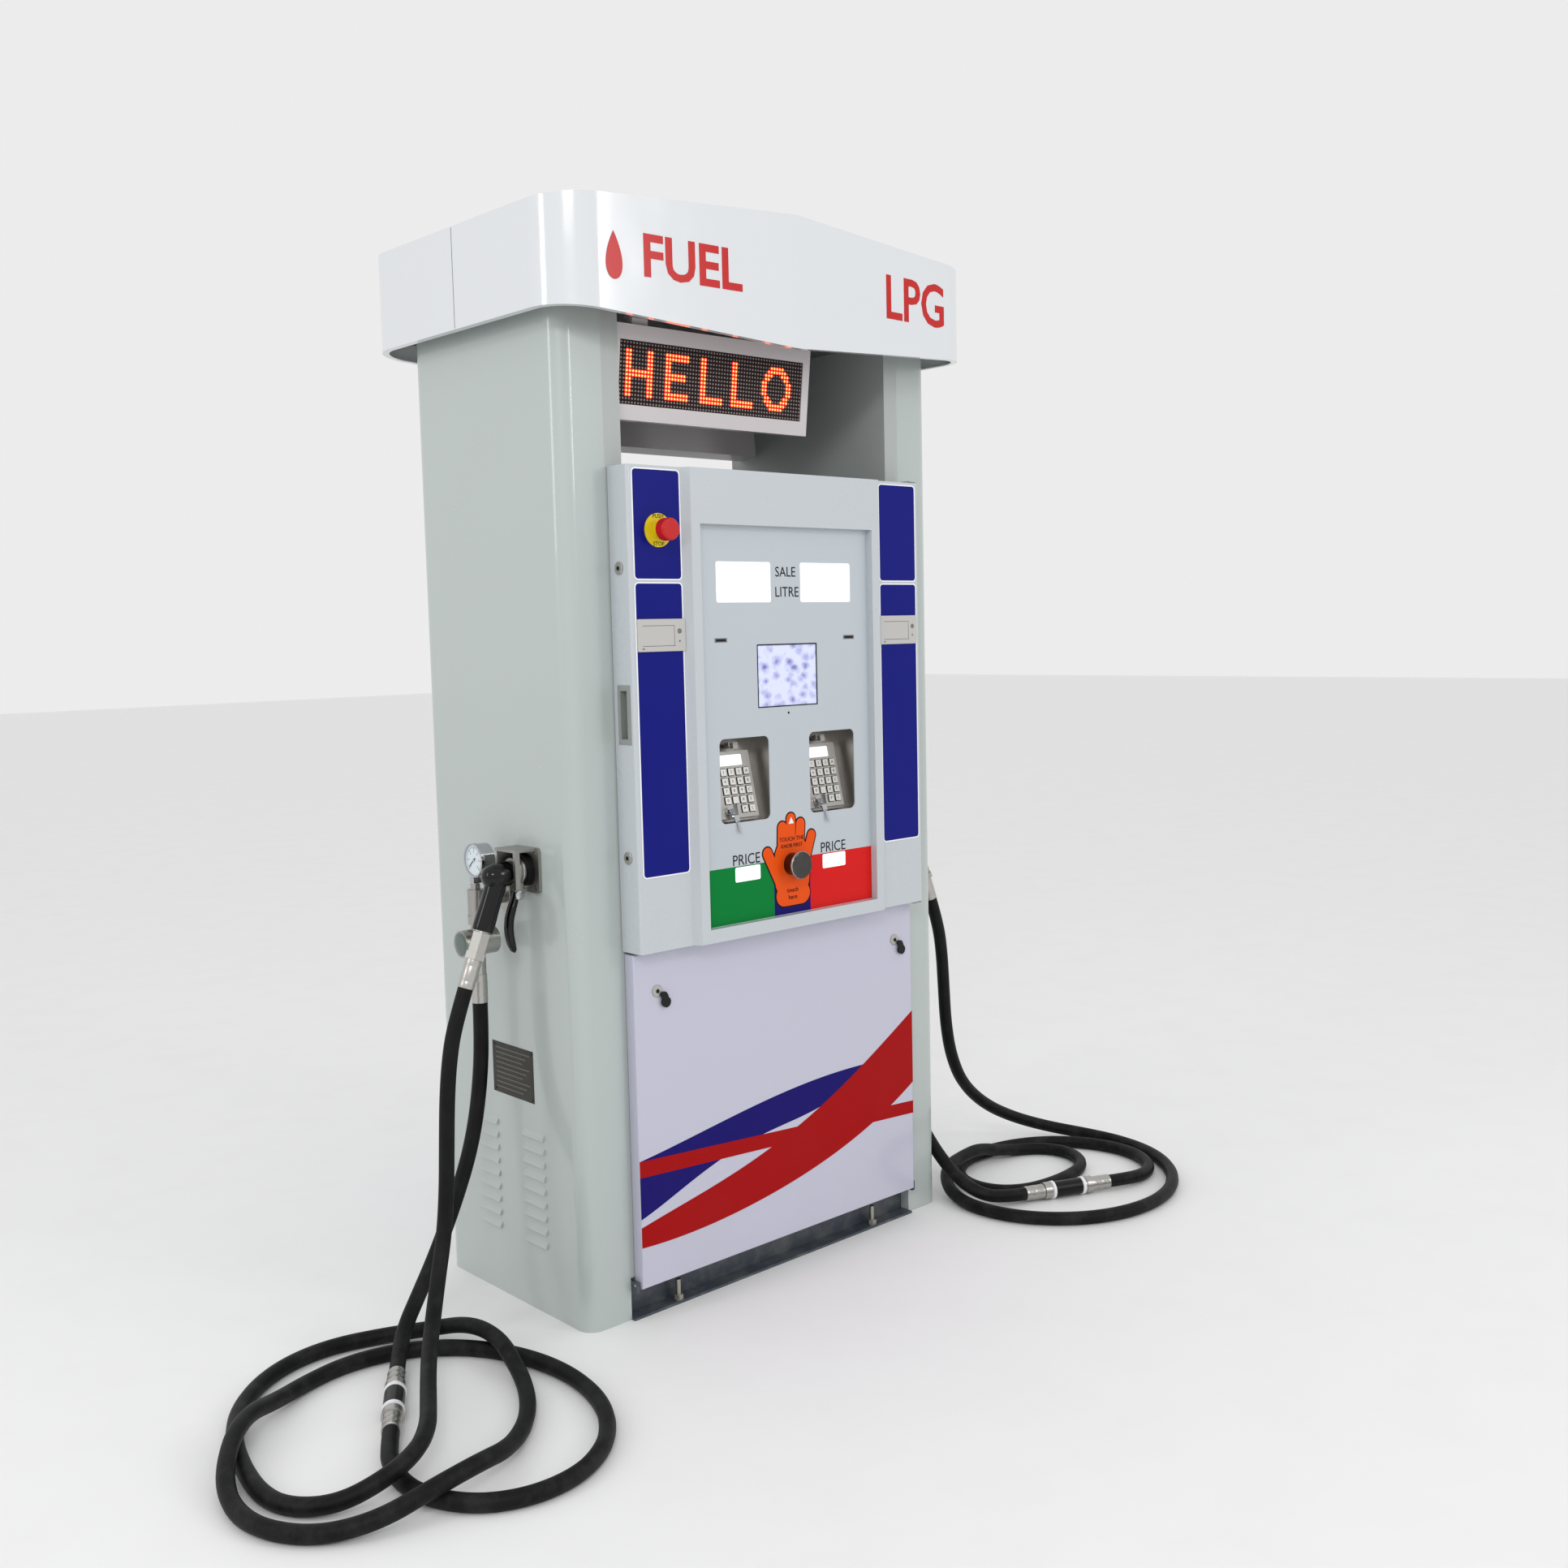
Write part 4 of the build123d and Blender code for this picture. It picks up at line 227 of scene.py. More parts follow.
# films, plastics and rubber: deep colour, low shine, faint dust
makeFinish("navyFilm", (0.004, 0.007, 0.185), 0.26, dirt=0.02, bump=0.0004, shine=0.12)
makeFinish("readerPlastic", (0.50, 0.49, 0.47), 0.42, dirt=0.15, grain=1.0, grainScale=1200, bump=0.0002)
makeFinish("displayGlow", (0.9, 0.94, 0.96), 0.12, dirt=0.02, glow=(0.95, 0.98, 1.0), glowStrength=0.42)
makeFinish("redPlastic", (0.52, 0.006, 0.006), 0.28, dirt=0.04, shine=0.35)
makeFinish("yellowPlastic", (0.72, 0.55, 0.008), 0.34, dirt=0.04, shine=0.3)
makeFinish("blackPlastic", (0.004, 0.004, 0.0045), 0.30, shine=0.25, dirt=0.08,
           dirtColor=(0.12, 0.12, 0.12))
makeFinish("blackRubber", (0.0035, 0.0035, 0.004), 0.5, shine=0.18, dirt=0.2, dirtColor=(0.10, 0.10, 0.10),
           dirtScale=25, grain=0.8, grainScale=900, bump=0.0003)
makeFinish("gripGloss", (0.003, 0.003, 0.0035), 0.10, shine=0.35, dirt=0.08, dirtColor=(0.15, 0.15, 0.15),
           ripple=1.0, rippleScale=40, bump=0.0004)
# message board: pale case, dark board, lamps off, lamps on with a red glow round each
makeFinish("ledCase", (0.66, 0.62, 0.635), 0.34, coat=0.1, dirt=0.08)
makeFinish("ledBoard", (0.018, 0.005, 0.006), 0.6, dirt=0.05, shine=0.2)
makeFinish("lampOff", (0.26, 0.235, 0.22), 0.35, dirt=0.1)
makeFinish("lampOn", (1.0, 0.40, 0.10), 0.3, dirt=0.05, glow=(1.0, 0.30, 0.07), glowStrength=3.0)
makeFinish("lampHalo", (0.7, 0.01, 0.004), 0.4, dirt=0.05, glow=(1.0, 0.012, 0.003), glowStrength=1.8)
# nameplate: dark etched plate with paler lines
makeFinish("plateMetal", (0.010, 0.010, 0.006), 0.18, metal=0.2, shine=0.4, coat=0.0, dirt=0.25,
           dirtScale=40)
makeFinish("plateInk", (0.13, 0.125, 0.085), 0.3, metal=0.5, dirt=0.2)
# printed colours and inks: flat colour broken by faint dirt and grain
makeFinish("bandRed", (0.36, 0.001, 0.002), 0.25, dirt=0.02, shine=0.10)
makeFinish("blockRed", (0.66, 0.010, 0.010), 0.25, dirt=0.02, shine=0.12)
makeFinish("bandNavy", (0.008, 0.004, 0.135), 0.25, dirt=0.02, shine=0.10)
makeFinish("bandGreen", (0.0, 0.20, 0.035), 0.25, dirt=0.02, shine=0.10)
makeFinish("decalOrange", (0.80, 0.085, 0.006), 0.3, dirt=0.03, shine=0.12)
makeFinish("inkBlack", (0.006, 0.006, 0.008), 0.4, dirt=0.02, shine=0.1)
makeFinish("inkGrey", (0.16, 0.16, 0.17), 0.4, dirt=0.03)
makeFinish("inkWhite", (0.85, 0.86, 0.88), 0.3, dirt=0.03)
makeFinish("signRed", (0.52, 0.006, 0.005), 0.2, dirt=0.02, shine=0.35)
# gauge dial, sight panes and the works inside
makeFinish("gaugeDial", (0.66, 0.74, 0.78), 0.35, dirt=0.03)
makeFinish("sightGlass", (0.03, 0.07, 0.055), 0.05, coat=1.0, dirt=0.05)
makeFinish("tankPaint", (0.45, 0.48, 0.50), 0.4, dirt=0.3)


screenLook = {"cells": 46, "noise": 24, "detail": 9, "roughness": 0.72, "glow": 0.22, "gloss": 0.08,
              "stops": ((0.44, (0.10, 0.11, 0.30, 1)), (0.80, (0.62, 0.65, 0.86, 1))),
              "middle": (0.60, (0.36, 0.38, 0.66, 1))}


def makeScreen():
    # colour = ramp of half the cell distance plus noise, shown as paint and as light
    material = bpy.data.materials.new("videoScreen")
    material.use_nodes = True
    tree = material.node_tree
    shader = tree.nodes["Principled BSDF"]
    place = tree.nodes.new("ShaderNodeTexCoord").outputs["Object"]
    mapping = tree.nodes.new("ShaderNodeMapping")
    mapping.inputs["Scale"].default_value = (1, 0, 1.3)
    tree.links.new(place, mapping.inputs["Vector"])
    cells = tree.nodes.new("ShaderNodeTexVoronoi")
    cells.inputs["Scale"].default_value = screenLook["cells"]
    tree.links.new(mapping.outputs["Vector"], cells.inputs["Vector"])
    soft = noiseNode(tree, mapping.outputs["Vector"], screenLook["noise"], screenLook["detail"],
                     screenLook["roughness"])
    level = mathNode(tree, "ADD", mathNode(tree, "MULTIPLY", cells.outputs["Distance"], 0.5), soft)
    ramp = tree.nodes.new("ShaderNodeValToRGB")
    for element, (position, color) in zip(ramp.color_ramp.elements, screenLook["stops"]):
        element.position, element.color = position, color
    middle = ramp.color_ramp.elements.new(screenLook["middle"][0])
    middle.color = screenLook["middle"][1]
    tree.links.new(level, ramp.inputs["Fac"])
    tree.links.new(ramp.outputs["Color"], shader.inputs["Base Color"])
    tree.links.new(ramp.outputs["Color"], shader.inputs["Emission Color"])
    shader.inputs["Emission Strength"].default_value = screenLook["glow"]
    shader.inputs["Roughness"].default_value = screenLook["gloss"]
    materials["videoScreen"] = material


makeScreen()
print("materials made")

# finishes of the frame's own pieces
nodeFinish = {
    "base_frame": "basePaint", "anchor_bolts": "zincPlate", "left_side_shell": "cabinetPaint",
    "right_side_shell": "cabinetPaint", "inner_walls": "innerPaint", "vapour_barrier": "innerPaint",
    # the canopy soffit takes the painted-shade grey
    "canopy_front_fascia": "canopyPaint", "canopy_rear_fascia": "canopyPaint", "canopy_soffit": "soffitPaintedShade",
    "canopy_roof": "canopyPaint", "led_boxes": "ledCase", "led_matrices": "ledBoard",
              "front_door": "doorPaint",
    "rear_door": "doorPaint", "door_handle_cup": "handleGrey", "front_blue_panels": "navyFilm",
    "front_card_readers": "readerPlastic", "front_face_plate": "facePaint",
              "front_display_windows": "displayGlow",
    "rear_displays": "navyFilm", "media_screen": "videoScreen", "keypad_bowls": "brushedStainless",
    "keypad_keys": "keyMetal", "left_key_switch": "mirrorChrome", "right_key_switch": "mirrorChrome",
    "esd_knob": "darkChrome", "estop_collar": "yellowPlastic", "estop_stem": "blackPlastic",
    "estop_mushroom": "redPlastic", "upper_door_lock": "mirrorChrome", "lower_door_lock": "mirrorChrome",
    "rear_door_lock": "mirrorChrome", "front_lower_panel": "panelPaint", "left_panel_lock": "mirrorChrome",
    "right_panel_lock": "mirrorChrome", "left_lock_cover": "blackPlastic", "right_lock_cover": "blackPlastic",
    "rear_lower_panel": "panelPaint", "rear_panel_lock": "mirrorChrome", "nameplate": "plateMetal",
    "nozzle_boots": "castStainless", "outlet_manifolds": "brushedStainless", "sight_glasses": "turnedMetal",
    "pressure_gauges": "mirrorChrome", "left_nozzle": "castStainless", "right_nozzle": "castStainless",
    "left_swivel": "turnedMetal", "right_swivel": "turnedMetal", "left_trigger": "gripGloss",
    "right_trigger": "gripGloss", "left_breakaway": "turnedMetal", "right_breakaway": "turnedMetal",
    "left_hose": "blackRubber", "left_tail_hose": "blackRubber", "right_hose": "blackRubber",
    "right_tail_hose": "blackRubber", "gas_separator": "tankPaint", "flow_meters": "tankPaint",
    "process_pipes": "brushedStainless", "junction_box": "tankPaint",
}
for nodeName, finishName in nodeFinish.items():
    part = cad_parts[nodeName]
    if not part.material_slots:
        part.data.materials.append(None)
    for slot in part.material_slots:
        slot.material = materials[finishName]


# mesh makers
def meshPiece(name, points, faces, body, finish, smooth=None, faceFinish=None):
    mesh = bpy.data.meshes.new(name)
    mesh.from_pydata(np.asarray(points, float).tolist(), [], faces)
    finishes = [finish] if isinstance(finish, str) else list(finish)
    for each in finishes:
        mesh.materials.append(materials[each])
    if faceFinish is not None:
        mesh.polygons.foreach_set("material_index", np.asarray(faceFinish, np.int32))
    if smooth is not None:
        mesh.polygons.foreach_set("use_smooth", np.ones(len(mesh.polygons), bool))
        mesh.set_sharp_from_angle(angle=math.radians(smooth))
    mesh.update()
    piece = bpy.data.objects.new(name, mesh)
    bpy.context.scene.collection.objects.link(piece)
    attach(piece, body)
    return piece


def prismData(outline, front, back):
    # a flat outline in x and z, closed, carried in y from front to back
    outline = np.asarray(outline, float)
    area = np.sum(outline[:, 0] * np.roll(outline[:, 1], -1) - np.roll(outline[:, 0], -1) * outline[:, 1])
    if area < 0:
        outline = outline[::-1]
    count = len(outline)
    fore = np.stack([outline[:, 0], np.full(count, front), outline[:, 1]], axis=1)
    rear = fore + [0, back - front, 0]
    here = np.arange(count)
    after = (here + 1) % count
    sides = np.stack([here, here + count, after + count, after], axis=1)
    faces = [here.tolist(), (here[::-1] + count).tolist()] + sides.tolist()
    return np.vstack([fore, rear]), faces


def joined(parts):
    # several point and face lists as one
    points, faces, start = [], [], 0
    for some, loops in parts:
        points.append(np.asarray(some, float))
        faces += [[start + i for i in loop] for loop in loops]
        start += len(some)
    return np.vstack(points), faces


def decal(name, outlines, front, body, finish, depth=0.0002):
    points, faces = joined([prismData(outline, front, front + depth) for outline in outlines])
    return meshPiece(name, points, faces, body, finish)


def roundedBox(left, right, bottom, top, radius, steps=6):
    # a rectangle whose corners are quarter circles
    turn = np.linspace(0, math.pi / 2, steps)
    corners = [(right - radius, top - radius, 0), (left + radius, top - radius, 1),
               (left + radius, bottom + radius, 2), (right - radius, bottom + radius, 3)]
    return np.vstack([np.stack([x + radius * np.cos(turn + q * math.pi / 2),
                                z + radius * np.sin(turn + q * math.pi / 2)], axis=1) for x, z, q in corners])


def capsule(x0, z0, x1, z1, radius, steps=12):
    # two half circles joined by straight sides
    heading = math.atan2(z1 - z0, x1 - x0)
    half = np.linspace(-math.pi / 2, math.pi / 2, steps)
    far = np.stack([x1 + radius * np.cos(heading + half), z1 + radius * np.sin(heading + half)], axis=1)
    near = np.stack([x0 - radius * np.cos(heading + half), z0 - radius * np.sin(heading + half)], axis=1)
    return np.vstack([far, near])


def ringData(outer, inner, front, back):
    # a flat frame between two outlines with the same number of points
    count = len(outer)
    loops = [np.stack([o[:, 0], np.full(count, y), o[:, 1]], axis=1) for o, y in
             ((outer, front), (inner, front), (inner, back), (outer, back))]
    here = np.arange(count)
    after = (here + 1) % count
    faces = []
    for k in range(4):
        a, b = k * count, ((k + 1) % 4) * count
        faces += np.stack([a + here, b + here, b + after, a + after], axis=1).tolist()
    return np.vstack(loops), faces


def tubeFaces(rows, columns):
    # four-sided faces between rings, and one cap at each end
    row, column = np.meshgrid(np.arange(rows - 1), np.arange(columns), indexing="ij")
    after = (column + 1) % columns
    quads = np.stack([row * columns + column, row * columns + after, (row + 1) * columns + after,
                      (row + 1) * columns + column], axis=-1).reshape(-1, 4)
    return quads.tolist() + [list(range(columns))[::-1], list(range((rows - 1) * columns, rows * columns))]


def lathe(start, direction, stations, around=48, squash=1.0):
    # a profile of distance and radius turned about a straight axis
    start = np.asarray(start, float)
    axis = np.asarray(direction, float) / np.linalg.norm(direction)
    side = np.cross(axis, [0, 1, 0] if abs(axis[1]) < 0.9 else [1, 0, 0])
    side /= np.linalg.norm(side)
    other = np.cross(axis, side)
    stations = np.asarray(stations, float)
    turn = np.linspace(0, 2 * math.pi, around, endpoint=False)
    ring = np.cos(turn)[:, None] * side + squash * np.sin(turn)[:, None] * other
    points = start + stations[:, 0][:, None, None] * axis + stations[:, 1][:, None, None] * ring[None]
    rows, columns = len(stations), around
    return points.reshape(-1, 3), tubeFaces(rows, columns)


def mirroredAcross(points, faces, side):
    # the left piece as made, or its mirror image with its faces turned over
    if side < 0:
        return points, faces
    return np.asarray(points) * [-1, 1, 1], [list(loop)[::-1] for loop in faces]


def textData(words, size, centre, align="CENTER", bold=0.0, stretch=1.0, depth=0.0002):
    # letters set flat, then stood up to face the front
    curve = bpy.data.curves.new("letters", "FONT")
    curve.body = words
    curve.size = size
    curve.align_x = align
    curve.align_y = "CENTER"
    curve.extrude = depth / 2
    curve.offset = bold
    curve.resolution_u = 3
    holder = bpy.data.objects.new("letters", curve)
    bpy.context.scene.collection.objects.link(holder)
    mesh = bpy.data.meshes.new_from_object(holder.evaluated_get(bpy.context.evaluated_depsgraph_get()))
    flat = np.zeros(len(mesh.vertices) * 3)
    mesh.vertices.foreach_get("co", flat)
    flat = flat.reshape(-1, 3)
    faces = [list(polygon.vertices) for polygon in mesh.polygons]
    bpy.data.objects.remove(holder)
    bpy.data.meshes.remove(mesh)
    points = np.stack([centre[0] + flat[:, 0] * stretch, centre[1] - flat[:, 2], centre[2] + flat[:, 1]],
                      axis=1)
    return points, faces


# hoses
hoseSet = {"diameter": 0.028, "sides": 4, "finish": "blackRubber"}
leftHoseRoute = [
    (-924, -330, 20.5), (-947.6, -368.3, 20.5), (-969, -407, 17), (-983, -474, 14.2), (-970, -542, 14.2),
    (-928, -604, 14.2), (-860, -638, 14.2), (-780, -638, 14.2), (-708, -602, 14.2), (-654, -542, 14.2),
    (-620, -470, 14.2), (-604, -390, 14.2), (-606, -308, 14.2), (-626, -228, 14.2), (-664, -155, 14.2),
    (-716, -100, 14.2), (-785, -62, 14.2), (-862, -50, 14.2), (-940, -66, 14.2), (-1010, -104, 22),
    (-1078, -154, 44.6), (-1136, -218, 44.6), (-1180, -292, 24), (-1196, -370, 14.2), (-1182, -448, 14.2),
    (-1134, -512, 14.2), (-1062, -550, 24), (-982, -562, 44.4), (-898, -548, 44.4), (-818, -508, 22),
    (-748, -448, 14.2), (-694, -372, 14.2), (-660, -288, 22), (-644, -204, 44.8), (-652, -120, 44.8),
    (-690, -44, 22), (-758, 8, 14.2), (-842, 34, 14.2), (-926, 26, 14.2), (-1002, -14, 14.2),
    (-1064, -78, 14.2), (-1108, -160, 14.2), (-1134, -254, 14.2), (-1148, -350, 14.2), (-1131, -415, 14.2),
    (-1083, -463, 20), (-1018, -480, 38), (-953, -463, 50), (-905, -415, 54), (-867, -350, 54),
    (-829, -284, 56), (-789, -219, 66), (-747, -162, 94), (-712, -124, 146), (-686, -106, 212),
    (-674, -101, 290), (-669, -100, 376), (-664, -100, 460), (-656, -100, 526), (-643.1, -100, 582.7),
    (-615.3, -100, 652.3),]
leftTailRoute = [
    (-540, -20, 602), (-540, -20, 530), (-547, -20.5, 450), (-562, -22, 370), (-584.1, -23.1, 299.5),
    (-621, -26.1, 221.1), (-663.7, -33.4, 148.7), (-708.9, -46.7, 92), (-752, -70.5, 54), (-787, -108.2, 25),
    (-819, -160, 20.5),]
rightHoseRoute = [
    (786, -473, 20.5), (834, -494.5, 20.5), (888, -497, 16), (938, -479, 14.2), (978, -440, 14.2),
    (1000, -386, 14.2), (1002, -326, 14.2), (982, -262, 14.2), (940, -204, 14.2), (880, -160, 14.2),
    (804, -134, 14.2), (720, -130, 14.2), (644, -156, 14.2), (588, -206, 14.2), (566, -268, 14.2),
    (580, -326, 14.2), (626, -364, 14.2), (690, -378, 14.2), (760, -378, 14.2), (828, -366, 14.2),
    (880, -326, 14.2), (900, -268, 14.2), (880, -212, 14.2), (830, -178, 14.2), (768, -168, 26),
    (700, -168, 46), (630, -176, 46), (558, -192, 44), (504, -240, 24), (476, -310, 14.2), (472, -388, 14.2),
    (496, -464, 14.2), (544, -528, 14.2), (608, -576, 14.2), (684, -604, 14.2), (768, -610, 14.2),
    (852, -592, 14.2), (928, -550, 14.2), (992, -488, 14.2), (1036, -408, 14.2), (1052, -318, 14.2),
    (1038, -228, 16), (988, -150, 28), (904, -104, 62), (816, -86, 112), (738, -86, 180), (690, -94, 258),
    (668, -98, 340), (660, -100, 430), (655, -100, 510), (643.1, -100, 582.7), (615.3, -100, 652.3),]
rightTailRoute = [
    (540, -20, 602), (540, -20, 530), (541, -26, 450), (538, -42, 368), (530, -72, 284), (516, -116, 206),
    (503, -168, 146), (496, -226, 94), (495, -282, 54), (510, -334, 28), (546.5, -367, 20.5),
    (594, -388, 20.5),]


def makeHose(name, route, node):
    # a NURBS line through the route's control points, with a round section
    curve = bpy.data.curves.new(name, "CURVE")
    curve.dimensions = "3D"
    spline = curve.splines.new("NURBS")
    spline.points.add(len(route) - 1)
    control = np.hstack([np.asarray(route) / 1000, np.ones((len(route), 1))])
    spline.points.foreach_set("co", control.ravel())
    spline.order_u = 3
    spline.use_endpoint_u = True
    spline.resolution_u = 10
    curve.bevel_depth = hoseSet["diameter"] / 2
    curve.bevel_resolution = hoseSet["sides"]
    curve.use_fill_caps = True
    curve.materials.append(materials[hoseSet["finish"]])
    hose = bpy.data.objects.new(name, curve)
    bpy.context.scene.collection.objects.link(hose)
    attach(hose, "cabinet")
    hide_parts(node)
    return hose


coupling = {"sides": 40, "sleeve": 0.0175, "smooth": 35, "rings": (-4, -3, -2),
            "finishes": ("turnedMetal", "blackPlastic", "inkWhite"),
            "stations": [(0.0, 0.0142), (0.001, 0.0158), (0.010, 0.0158), (0.0115, 0.0150), (0.014, 0.0150),
                         (0.0155, 0.0158), (0.028, 0.0158), (0.0295, 0.0150), (0.032, 0.0150), (0.0335,
                                                                                                0.0158),
                         (0.045, 0.0156), (0.046, 0.0185), (0.060, 0.0185), (0.061, 0.0165), (0.064, 0.0165),
                         (0.065, 0.0194), (0.071, 0.0194), (0.072, 0.0175)]}


def makeCoupling(name, start, end, node):
    # crimped ends, nuts, a dark sleeve between two pale rings, made as two halves that meet in the middle
    start, end = np.asarray(start) / 1000, np.asarray(end) / 1000
    middle = (start + end) / 2
    stations = coupling["stations"] + [(np.linalg.norm(end - start) / 2, coupling["sleeve"])]
    rowFinish = np.zeros(len(stations) - 1, int)
    rowFinish[-1], rowFinish[list(coupling["rings"])] = 1, 2
    halves = []
    for label, place in (("near", start), ("far", end)):
        points, faces = lathe(place, middle - place, stations, coupling["sides"])
        band = np.zeros(len(faces), int)
        band[:len(rowFinish) * coupling["sides"]] = np.repeat(rowFinish, coupling["sides"])
        piece = meshPiece(name + "_" + label, points, faces, "cabinet", coupling["finishes"],
                          coupling["smooth"],
                          band)
        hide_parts(node)
        halves.append(piece)
    return halves


leftCoupling = makeCoupling("left_coupling", leftTailRoute[-1], leftHoseRoute[0], "left_breakaway")
rightCoupling = makeCoupling("right_coupling", rightTailRoute[-1], rightHoseRoute[0], "right_breakaway")
leftTail = makeHose("left_tail_rubber", leftTailRoute, "left_tail_hose")
leftMain = makeHose("left_main_rubber", leftHoseRoute, "left_hose")
rightTail = makeHose("right_tail_rubber", rightTailRoute, "right_tail_hose")
rightMain = makeHose("right_main_rubber", rightHoseRoute, "right_hose")
print("hoses laid")

# printed bands of the lower panel
panelFront = -0.2664
panelSide = 369
swoosh = {
    "navyTop": ((-369, 305), (-257, 321), (-174, 334), (-65, 351), (33, 360), (119, 367), (217, 367)),
    "navyLow": ((-369, 194), (-308, 218), (-240, 238), (-187, 259), (-71, 285), (8, 294), (82, 303),
                (217, 364)),
    "redTop": ((-369, 180), (-295, 193), (-206, 213), (-113, 236), (-57, 249), (23, 275), (82, 303), (217,
                                                                                                      367),
               (369, 454)),
    "redLow": ((-369, 141), (-243, 141), (-130, 146), (-41, 161), (59, 181), (147, 203), (235, 234), (295,
                                                                                                      259),
               (369, 299)),
    "barTop": ((-369, 305), (0, 281), (369, 257)),
    "barLow": ((-369, 274), (0, 252), (369, 230)),
}


def bandOutline(top, low, left, right, count=60):
    # the space between two curves: the quartic that best follows many points, or a line through three
    x = np.linspace(left, right, count)
    upper, lower = (np.polyval(np.polyfit(*np.array(swoosh[edge]).T, 4 if len(swoosh[edge]) > 4 else 1), x)
                    for edge in (top, low))
    keep = upper > lower
    x, upper, lower = x[keep], upper[keep], lower[keep]
    return np.vstack([np.stack([x, upper], axis=1), np.stack([x[::-1], lower[::-1]], axis=1)]) / 1000


bandLayers = (("lower_panel_navy_swoosh", ("navyTop", "navyLow", -panelSide, 217), 0.00012, "bandNavy",
               0.0001),
              ("lower_panel_red_bar", ("barTop", "barLow", -panelSide, panelSide), 0.00024, "bandRed",
               0.0002),
              ("lower_panel_red_swoosh", ("redTop", "redLow", -panelSide, panelSide), 0.00034, "bandRed",
               0.0003))
for label, edges, proud, finish, depth in bandLayers:
    decal(label, [bandOutline(*edges)], panelFront - proud, "front_lower_panel", finish, depth)

# printing on the face plate
face = {"front": -0.297, "left": -0.2215, "right": 0.2215, "bandLow": 0.7205, "bandTop": 0.828,
        "splits": (-0.048, 0.048), "priceX": 0.1145, "priceHalf": 0.0315, "priceZ": (0.798, 0.826),
        "slotX": 0.167, "slotHalf": 0.015, "slotZ": (1.249, 1.257), "insertHalf": 0.012,
        "insertZ": (1.2508, 1.2552),
        "pinZ": 1.111, "pinHalf": 0.0001, "pinRadius": 0.0022, "wordStretch": 0.95}
bandNames = (("green", face["left"], face["splits"][0], "bandGreen"),
             ("navy", face["splits"][0], face["splits"][1], "bandNavy"),
             ("red", face["splits"][1], face["right"], "blockRed"))
for bandName, left, right, finish in bandNames:
    outlines = [np.array([(left, face["bandLow"]), (right, face["bandLow"]), (right, face["bandTop"]),
                          (left, face["bandTop"])])]
    decal("face_" + bandName + "_block", outlines, face["front"] - 0.00015, "front_door", finish, 0.00014)


def facePair(x, half, heights, radius):
    # the same rounded box at each side of the middle
    return [roundedBox(side * x - half, side * x + half, *heights, radius) for side in (-1, 1)]


decal("price_window_whites", facePair(face["priceX"], face["priceHalf"], face["priceZ"], 0.003),
      face["front"] - 0.0006, "front_door", "displayGlow", 0.0005)
decal("face_slots", facePair(face["slotX"], face["slotHalf"], face["slotZ"], 0.001), face["front"] - 0.0004,
      "front_door", "inkGrey", 0.0004)
decal("face_slot_inserts", facePair(face["slotX"], face["insertHalf"], face["insertZ"], 0.0005),
      face["front"] - 0.0005, "front_door", "blackPlastic", 0.0003)
decal("face_pin_hole", [capsule(-face["pinHalf"], face["pinZ"], face["pinHalf"], face["pinZ"],
                                face["pinRadius"])],
      face["front"] - 0.0003, "front_door", "inkBlack")
faceWords = [("SALE", 0.0268, (-0.001, 1.379)), ("LITRE", 0.0272, (0.002, 1.341)),
             ("PRICE", 0.0290, (-0.1175, 0.8385)), ("PRICE", 0.0290, (0.1125, 0.8385))]
points, faces = joined([textData(word, size, (x, face["front"] - 0.0002, z), stretch=face["wordStretch"])
                        for word, size, (x, z) in faceWords])
meshPiece("face_words", points, faces, "front_door", "inkBlack")

screenEdge = {"outer": (-0.0782, 0.0782, 1.1235, 1.2435, 0.0008),
              "inner": (-0.0762, 0.0762, 1.1255, 1.2412, 0.0004)}
points, faces = ringData(roundedBox(*screenEdge["outer"]), roundedBox(*screenEdge["inner"]),
                         face["front"] - 0.0004, face["front"] + 0.0006)
meshPiece("screen_edge", points, faces, "front_door", "inkBlack")

# the knob's rim, and the hand behind it made of capsules, each a hair proud of the one before
knobRim = {"place": (0, -0.3215, 0.817), "profile": [(0.0, 0.0255), (0.0006, 0.0272), (0.0030, 0.0272),
                                                     (0.0044, 0.0262), (0.0052, 0.0235), (0.0054, 0.0225)]}
points, faces = lathe(knobRim["place"], (0, -1, 0), knobRim["profile"], 56)
meshPiece("knob_rim", points, faces, "front_door", "turnedMetal", 40)
hand = [(0, 0.790, 0, 0.828, 0.046), (-0.022, 0.757, 0.025, 0.757, 0.021), (-0.026, 0.842, -0.024, 0.890,
                                                                            0.0115),
        (-0.003, 0.842, -0.001, 0.905, 0.0115), (0.020, 0.842, 0.024, 0.893, 0.0115),
        (0.038, 0.825, 0.053, 0.868, 0.0105), (-0.036, 0.790, -0.064, 0.844, 0.0115)]
handLayers = (("hand_outline", 0.0028, 0.0002, "inkBlack"), ("hand_shape", 0, 0.0006, "decalOrange"))
for label, grow, lift, finish in handLayers:
    fore = face["front"] - lift
    points, faces = joined([prismData(capsule(*finger[:4], finger[4] + grow), fore - 0.00004 * index,
                                      fore + 0.0002)
                            for index, finger in enumerate(hand)])
    meshPiece(label, points, faces, "front_door", finish)
handWords = [("TOUCH THE", 0.0115, (0, 0.866)), ("KNOB FIRST", 0.0105, (0, 0.853)), ("touch", 0.013, (0,
                                                                                                      0.766)),
             ("here", 0.013, (0, 0.752))]
points, faces = joined([textData(word, size, (x, face["front"] - 0.0011, z)) for word, size, (x,
                                                                                              z) in handWords])
meshPiece("hand_words", points, faces, "front_door", "inkBlack")
decal("hand_triangle", [np.array([(-0.0075, 0.896), (0.0065, 0.896), (-0.0005, 0.909)])],
      face["front"] - 0.0011,
      "front_door", "inkWhite")
print("face plate printed")

